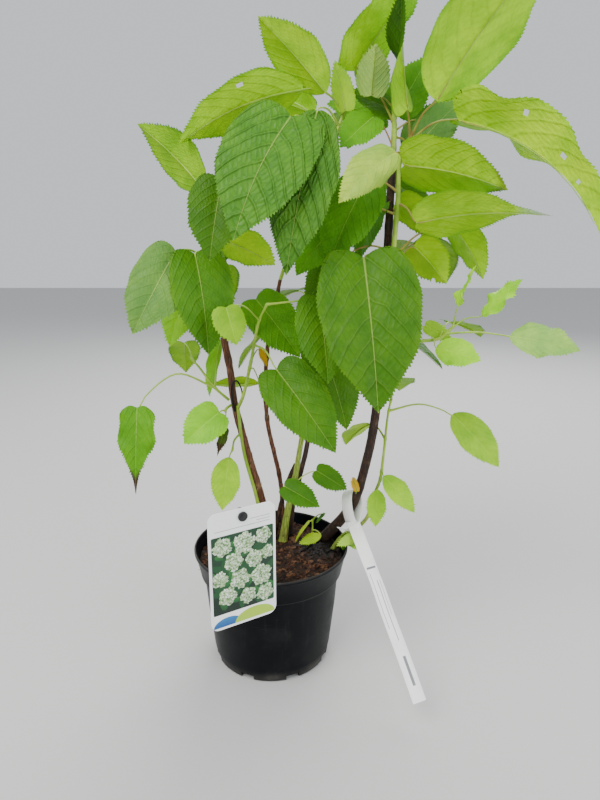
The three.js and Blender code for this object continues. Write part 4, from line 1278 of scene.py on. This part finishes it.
def buildMix():
    rings, sides = mixBuild["rings"], mixBuild["sides"]
    places, faces = [(0, 0, mixHeight(0, 0))], []
    for k in range(1, rings + 1):
        places += [(x, y, mixHeight(x, y)) for x, y, _ in ringOf(mixBuild["radius"] * k / rings, 0, sides)]
    for radius, level in mixBuild["wall"]:
        places += ringOf(radius, level, sides)
    places.append((0, 0, level))
    for n in range(sides):
        m = (n + 1) % sides
        faces.append((0, 1 + n, 1 + m))
        for k in range(rings + 2):
            a, b = 1 + k * sides, 1 + (k + 1) * sides
            faces.append((a + n, b + n, b + m, a + m))
        faces.append((1 + (rings + 2) * sides + n, len(places) - 1, 1 + (rings + 2) * sides + m))
    piece = hiddenShape("mixSurface", places, faces)
    piece.data.materials.append(mixCrumbs)
    piece.data.polygons.foreach_set("use_smooth", [True] * len(faces))
    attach(piece, "root")
    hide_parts("potting_mix")
    inner = 1 + (rings - 2) * sides  # the chips keep off the two outer rings
    return hiddenShape("mixBed", places[:inner], [face for face in faces if max(face) < inner])


def chipShape(name, long, wide, thick, seed):
    numbers = numbersFrom(seed)
    places, faces = [], []
    corners = 7
    for level in (-thick / 2, thick / 2):
        for n in range(corners):
            angle = 2 * math.pi * n / corners
            size = 0.75 + 0.4 * next(numbers)
            places.append((long / 2 * math.cos(angle) * size, wide / 2 * math.sin(angle) * size,
                           level + thick * 0.5 * (next(numbers) - 0.5)))
    faces.append(tuple(reversed(range(corners))))
    faces.append(tuple(range(corners, 2 * corners)))
    faces += wallFaces(0, corners, corners)
    return hiddenShape(name, places, faces)


def fibreShape(name, long, thick, seed):
    numbers = numbersFrom(seed)
    places, faces = [], []
    steps = 5
    for k in range(steps + 1):
        t = k / steps - 0.5
        middle = (long * t, long * 0.25 * math.sin(3 * t + seed), thick + long * 0.1 * next(numbers))
        size = thick * (1 - abs(t))
        for turn in (0, 2.1, 4.2):
            places.append((middle[0], middle[1] + size * math.cos(turn), middle[2] + size * math.sin(turn)))
    for k in range(steps):
        faces += wallFaces(3 * k, 3 * k + 3, 3)
    faces += [(2, 1, 0), (3 * steps, 3 * steps + 1, 3 * steps + 2)]
    return hiddenShape(name, places, faces)


bed = buildMix()
# Chips: length, width, thickness, the most in a square metre, and the least gap between them
chipSizes = ((9.5, 5.4, 2.6, 16000, 0.0058), (4.2, 2.8, 1.5, 70000, 0.0024))
for number, (long, wide, thick, density, least) in enumerate(chipSizes):
    carrier = newObject("chipBed", bed.data.copy())
    chip = chipShape("chip", long, wide, thick, 5 + number)
    piece = scattered(f"mixChips{number + 1}", carrier, chip, mixChips,
                      {"Density": float(density), "Least Gap": least, "Smallest": 0.5, "Largest": 1.35,
                       "Tilt": 0.5, "Seed": 4 + number})
piece = scattered("mixFibres", bed, fibreShape("fibre", 13, 0.22, 3), mixChips,
                  {"Density": 26000.0, "Least Gap": 0.0036, "Smallest": 0.5, "Largest": 1.4, "Tilt": 0.25,
                   "Seed": 9})

# Peeling flakes on the brown canes
flake = hiddenShape("flake", [(-0.7, -4, 0.05), (0.7, -4.4, 0.05), (1.0, 0, 0.35), (-0.9, 0.3, 0.3),
                              (0.5, 4.2, 0.9), (-0.6, 3.6, 0.8)], [(0, 1, 2, 3), (3, 2, 4, 5)])
flakeWall = flake.modifiers.new("wall", "SOLIDIFY")
flakeWall.thickness = 0.0003
flake.data = bakedMesh(flake)
flake.modifiers.clear()
flakeBed = newObject("flakeBed", madeCanes["canesBrown"].data.copy())
piece = scattered("barkFlakes", flakeBed, flake, barkFinishes["brown"],
                  {"Density": 14000.0, "Least Gap": 0.0048, "Smallest": 0.4, "Largest": 0.85, "Tilt": 0.1,
                   "Seed": 12}, 0.03)

# Card: its front print lies on the plastic in thin layers, the higher the later
labelBuild = {"thick": 1, "middle": (-21, -106, 162), "turn": 31, "layer": 0.05,
              "panel": (-31.5, -43, 31.5, 36), "inset": 0.5, "leaves": 70,
              "hills": ((-17, 15, 9, 1, "blue", "deepBlue"), (11, 21, 11.5, 2, "lime", "lime")),
              "hillFoot": -56.5, "rules": ((46.5, 8, 28), (43.6, 14, 28), (40.8, -28, 28)), "ruleHigh": 0.5}


def onCard(x, y, layer=1):
    depth = -(labelBuild["thick"] + labelBuild["layer"] * layer)
    turn = math.radians(labelBuild["turn"])
    middle = labelBuild["middle"]
    return (middle[0] + x * math.cos(turn) - depth * math.sin(turn),
            middle[1] + x * math.sin(turn) + depth * math.cos(turn), middle[2] + y)


# Keeps a point of the picture inside its panel
def inPanel(x, y):
    left, low, right, high = labelBuild["panel"]
    inset = labelBuild["inset"]
    return min(right - inset, max(left + inset, x)), min(high - inset, max(low + inset, y))


labelColours = {"panel": (14, 60, 34), "panelDeep": (6, 34, 22), "leaf": (48, 120, 50),
                "leafDark": (18, 74, 36), "lime": (168, 204, 56), "blue": (46, 122, 178),
                "deepBlue": (28, 84, 150), "rule": (150, 152, 150)}


def buildPrint():
    gathered = Gathered()

    def flatShape(outline, layer, colour, fade=None):
        low = [onCard(x, y, layer - 0.7) for x, y in outline]
        high = [onCard(x, y, layer) for x, y in outline]
        n = len(outline)
        faces = [tuple(range(n, 2 * n)), tuple(reversed(range(n)))]
        faces += wallFaces(0, n, n)
        top = max(y for _, y in outline)
        span = top - min(y for _, y in outline)
        tints = [(*blend(paint(*labelColours[colour]), paint(*labelColours[fade or colour]),
                         (top - y) / span), 1) for _, y in outline]
        gathered.add(np.array(low + high), faces, np.zeros((2 * n, 2)), np.array(tints * 2))

    def rounded(left, low, right, high, corner):
        points = []
        for cx, cy, start in ((right - corner, high - corner, 0), (left + corner, high - corner, 90),
                              (left + corner, low + corner, 180), (right - corner, low + corner, 270)):
            bends = [math.radians(start + 15 * k) for k in range(7)]
            points += [(cx + corner * math.cos(bend), cy + corner * math.sin(bend)) for bend in bends]
        return points

    flatShape(rounded(*labelBuild["panel"], 1.2), 1, "panel", "panelDeep")
    numbers = numbersFrom(31)
    for _ in range(labelBuild["leaves"]):  # leaves behind the flower heads
        x, y = -29 + 58 * next(numbers), -40 + 73 * next(numbers)
        turn, long = 2 * math.pi * next(numbers), 5 + 5 * next(numbers)
        outline = []
        for k in range(10):
            t = 2 * math.pi * k / 10
            px, py = spun(long * math.cos(t), long * 0.42 * math.sin(t) * (1 - 0.3 * math.cos(t)), turn)
            outline.append(inPanel(x + px, y + py))
        flatShape(outline, 2 + next(numbers), "leaf" if next(numbers) < 0.5 else "leafDark", "leafDark")
    for middle, reach, rise, layer, colour, fade in labelBuild["hills"]:
        bends = [math.radians(9 * k) for k in range(21)]
        hill = [(middle + reach * math.cos(bend), labelBuild["hillFoot"] + rise * math.sin(bend))
                for bend in bends]
        flatShape(hill, layer, colour, fade)
    for level, left, right in labelBuild["rules"]:
        top = level + labelBuild["ruleHigh"]
        flatShape([(right, level), (right, top), (left, top), (left, level)], 1, "rule")
    piece = gathered.toObject("labelPrint", labelInk, False)
    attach(piece, "root")


buildPrint()


# Flower heads in the picture: lumpy domes set with four-petalled florets
headBuild = {"heads": [(-21, 25, 9), (1, 24, 10.5), (21, 27, 8), (-10, 8, 9), (11, 6, 8.5), (25, 9, 6.5),
                       (-24, -7, 7.5), (-4, -11, 9.5), (18, -13, 10.5), (-17, -26, 9), (4, -31, 8),
                       (22, -33, 8.5)],
             "rings": 9, "sides": 36, "low": 3, "high": 19, "lump": 5,
             "lumpSpread": 0.5, "lobes": ((5, 0.1), (11, 0.06)),
             "petal": ((0.45, 0.7, 0.1), (1.0, 0.8, 0.28), (1.3, 0.0, 0.22))}


def headHeight(x, y, share):
    spread = headBuild["lumpSpread"]
    dome = headBuild["low"] + headBuild["high"] * math.sqrt(1 - share**2 * 0.995)
    return dome + headBuild["lump"] * noise.noise(Vector((x * spread, y * spread, 1.7))) * (1 - share**2)


def buildFloretMaterial(name, low, high):
    material, tree = newMaterial(name)
    grain = tree.noise(tree.where, 420, 3, 0.6)
    body = tree.mix(tree.range(grain, 0.4, 0.6), paint(*low), paint(*high))
    finishMaterial(tree, body, 0.4, grain, 0.3, 0.0003)
    return material


def buildFlowerHeads():
    places, faces, caps = [], [], []
    rings, sides = headBuild["rings"], headBuild["sides"]
    (few, deep), (many, shallow) = headBuild["lobes"]
    for x, y, radius in headBuild["heads"]:
        start = len(places)
        places.append(onCard(x, y, headHeight(x, y, 0)))
        for k in range(1, rings + 1):
            share = k / rings
            for n in range(sides):
                angle = 2 * math.pi * n / sides
                edge = 1 + deep * math.sin(few * angle + x) * share + shallow * math.sin(many * angle
                                                                                         + y) * share
                reach = radius * share * edge
                px, py = inPanel(x + reach * math.cos(angle), y + reach * math.sin(angle))
                places.append(onCard(px, py, headHeight(px, py, share)))
        last = start + 1 + (rings - 1) * sides
        caps.append(tuple(last + n for n in reversed(range(sides))))
        for n in range(sides):
            m = (n + 1) % sides
            faces.append((start, start + 1 + n, start + 1 + m))
            for k in range(rings - 1):
                a = start + 1 + k * sides
                faces.append((a + n, a + sides + n, a + sides + m, a + m))
    floretInk = buildFloretMaterial("floretInk", (190, 212, 170), (250, 252, 244))
    heads = hiddenShape("labelHeads", places, faces + caps)
    heads.data.materials.append(buildFloretMaterial("headInk", (92, 134, 78), (176, 204, 150)))
    soften(heads.data)
    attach(heads, "root")
    carrier = hiddenShape("headBed", places, faces)
    petals, petalFaces = [(0, 0, 0.12)], []
    for n in range(4):
        angle = math.pi / 2 * n
        first = len(petals)
        for share, wide, lift in headBuild["petal"]:
            for side in (-1, 1) if wide else (0,):
                petals.append((*spun(share, side * wide * 0.5, angle), lift))
        petalFaces += [(0, first, first + 1), (first, first + 2, first + 3, first + 1),
                       (first + 2, first + 4, first + 3)]
    floret = hiddenShape("floret", petals, petalFaces)
    piece = scattered("labelFlowers", carrier, floret, floretInk,
                      {"Density": 420000.0, "Least Gap": 0.0019, "Smallest": 0.75, "Largest": 1.2,
                       "Tilt": 0.25, "Seed": 21})


buildFlowerHeads()
for name, material, slotName in (("label_card", labelPlastic, "label_plastic"),
                                 ("label_stake", stakePlastic, "stake_plastic")):
    nodes[name].data.materials.clear()
    nodes[name].data.materials.append(material)
print("label made")

# Strap tag: a thin band looped round the cane, its short end, and its tail with plain printed rules
strapBuild = {"wide": 15, "thick": 0.7, "loop": (19, 12), "lean": 35, "turn": 35, "middle": (91, 19, 165),
              "around": 96, "end": [(95, 3, 149.5), (89, 0, 147.5), (83, -2, 147), (73, -3, 150)],
              "tail": [(91.5, 7, 151.5), (95, -9, 146), (104, -34, 128), (113, -51, 108), (121, -68, 88),
                       (135, -98, 56), (147, -124, 27)],
              "steps": 90, "endSteps": 24,
              "ink": (120, 122, 126), "inkThick": 0.06,
              "rules": ((30, 58, -4.2, 0.5), (34, 64, 1.2, 0.7), (34, 52, 4.2, 0.4), (70, 84, 0.5, 3.2),
                        (27, 29, 0, 11))}


def addBand(gathered, centres, acrosses, normals, wide, thick, closed, tint=(1, 1, 1), shares=None):
    half, deep, soft = wide / 2, thick / 2, min(thick * 0.4, wide * 0.2)
    section = [(-half, -deep + soft), (-half + soft, -deep), (0, -deep), (half - soft, -deep),
               (half, -deep + soft), (half, deep - soft), (half - soft, deep), (0, deep),
               (-half + soft, deep), (-half, deep - soft)]
    n = len(section)
    shares = shares or [1] * len(centres)
    places = np.array([c + a * x * t + m * y
                       for c, a, m, t in zip(centres, acrosses, normals, shares) for x, y in section])
    count = len(centres)
    faces = []
    for k in range(count if closed else count - 1):
        faces += wallFaces(k * n, (k + 1) % count * n, n)
    if not closed:
        faces += [tuple(reversed(range(n))), tuple(range((count - 1) * n, count * n))]
    tints = np.tile((*tint, 1), (len(places), 1))
    gathered.add(places, faces, np.zeros((len(places), 2)), tints)


def buildStrap():
    gathered, ink = Gathered(), Gathered()
    lean, turn = math.radians(strapBuild["lean"]), math.radians(strapBuild["turn"])
    high, deep = strapBuild["loop"]
    middle = np.array(strapBuild["middle"], float)
    rise = np.array([0, math.sin(lean), math.cos(lean)])
    front = np.array([-math.sin(turn), -math.cos(turn), 0])
    front = unit(front - rise * (front @ rise))
    across = np.cross(rise, front)
    angles = [2 * math.pi * k / strapBuild["around"] for k in range(strapBuild["around"])]
    centres = [middle + rise * high * math.cos(t) + front * deep * math.sin(t) * (0.8 + 0.2 * math.cos(t))
               for t in angles]
    normals = [unit(np.cross(centres[(k + 1) % len(centres)] - centres[k - 1], across))
               for k in range(len(centres))]
    addBand(gathered, centres, [across] * len(centres), normals, strapBuild["wide"] - 1,
            strapBuild["thick"], True)
    steps = strapBuild["endSteps"]
    line = evenPoints(strapBuild["end"], steps)
    sides = unit(np.array([0.1, -0.3, 0.94]))
    normals = [unit(np.cross(aheadAt(line, k), sides)) for k in range(steps + 1)]
    shares = [0.55 * (1 - k / steps) + 0.04 for k in range(steps + 1)]  # narrows almost to a point
    addBand(gathered, line, [sides] * (steps + 1), normals, strapBuild["wide"], strapBuild["thick"], False,
            shares=shares)
    centres = evenPoints(strapBuild["tail"], strapBuild["steps"])
    aheads = [aheadAt(centres, k) for k in range(len(centres))]
    acrosses = [unit(np.array([-ahead[1], ahead[0], 0])) for ahead in aheads]
    normals = [np.cross(ahead, across) for ahead, across in zip(aheads, acrosses)]
    addBand(gathered, centres, acrosses, normals, strapBuild["wide"], strapBuild["thick"], False)
    facing = [1 if normal[2] > 0 else -1 for normal in normals]
    lift = strapBuild["thick"] / 2 + strapBuild["inkThick"]
    lifted = [c + m * f * lift for c, m, f in zip(centres, normals, facing)]
    for start, end, shift, wide in strapBuild["rules"]:
        moved = [c + a * shift for c, a in zip(lifted[start:end], acrosses[start:end])]
        addBand(ink, moved, acrosses[start:end], normals[start:end], wide, strapBuild["inkThick"], False,
                paint(*strapBuild["ink"]))
    band = gathered.toObject("strapBand", strapPlastic)
    rules = ink.toObject("strapRules", labelInk, False)
    for piece in (band, rules):
        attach(piece, "root")
    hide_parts("strap_tag")


buildStrap()
print("strap made")

# Floor, backdrop colour and soft lights
floorMesh = bpy.data.meshes.new("floor")
reach, drop = 6, -0.0005
floorCorners = [(-reach, -reach, drop), (reach, -reach, drop), (reach, reach, drop), (-reach, reach, drop)]
floorMesh.from_pydata(floorCorners, [], [(0, 1, 2, 3)])
floorPaint, floorTree = newMaterial("floorPaint")
finishMaterial(floorTree, paint(188, 188, 186), 0.85)
floorMesh.materials.append(floorPaint)
floor = newObject("floor", floorMesh)

world = bpy.data.worlds.new("studio")
world.use_nodes = True
backdrop = {"Color": (*paint(214, 218, 224), 1), "Strength": 1.1}
Tree(world.node_tree).fill(world.node_tree.nodes["Background"], backdrop)
scene.world = world

lights = {
    "key": {"place": (-0.9, -1.1, 1.9), "aim": (0.05, 0, 0.35), "size": 1.5, "power": 54,
            "colour": (1, 0.98, 0.95)},
    "fill": {"place": (1.5, -1.4, 1.0), "aim": (0.05, 0, 0.3), "size": 1.6, "power": 26,
             "colour": (0.95, 0.98, 1)},
    "rear": {"place": (0.5, 1.5, 1.7), "aim": (0.05, 0, 0.4), "size": 1.6, "power": 46,
             "colour": (1, 1, 0.97)},
}
for name, light in lights.items():
    data = bpy.data.lights.new(name, "AREA")
    data.shape = "SQUARE"
    data.size = light["size"]
    data.energy = light["power"]
    data.color = light["colour"]
    lamp = newObject(name, data)
    lamp.location = light["place"]
    lamp.rotation_euler = (Vector(light["aim"]) - Vector(light["place"])).to_track_quat("-Z", "Y").to_euler()
print("stage made")
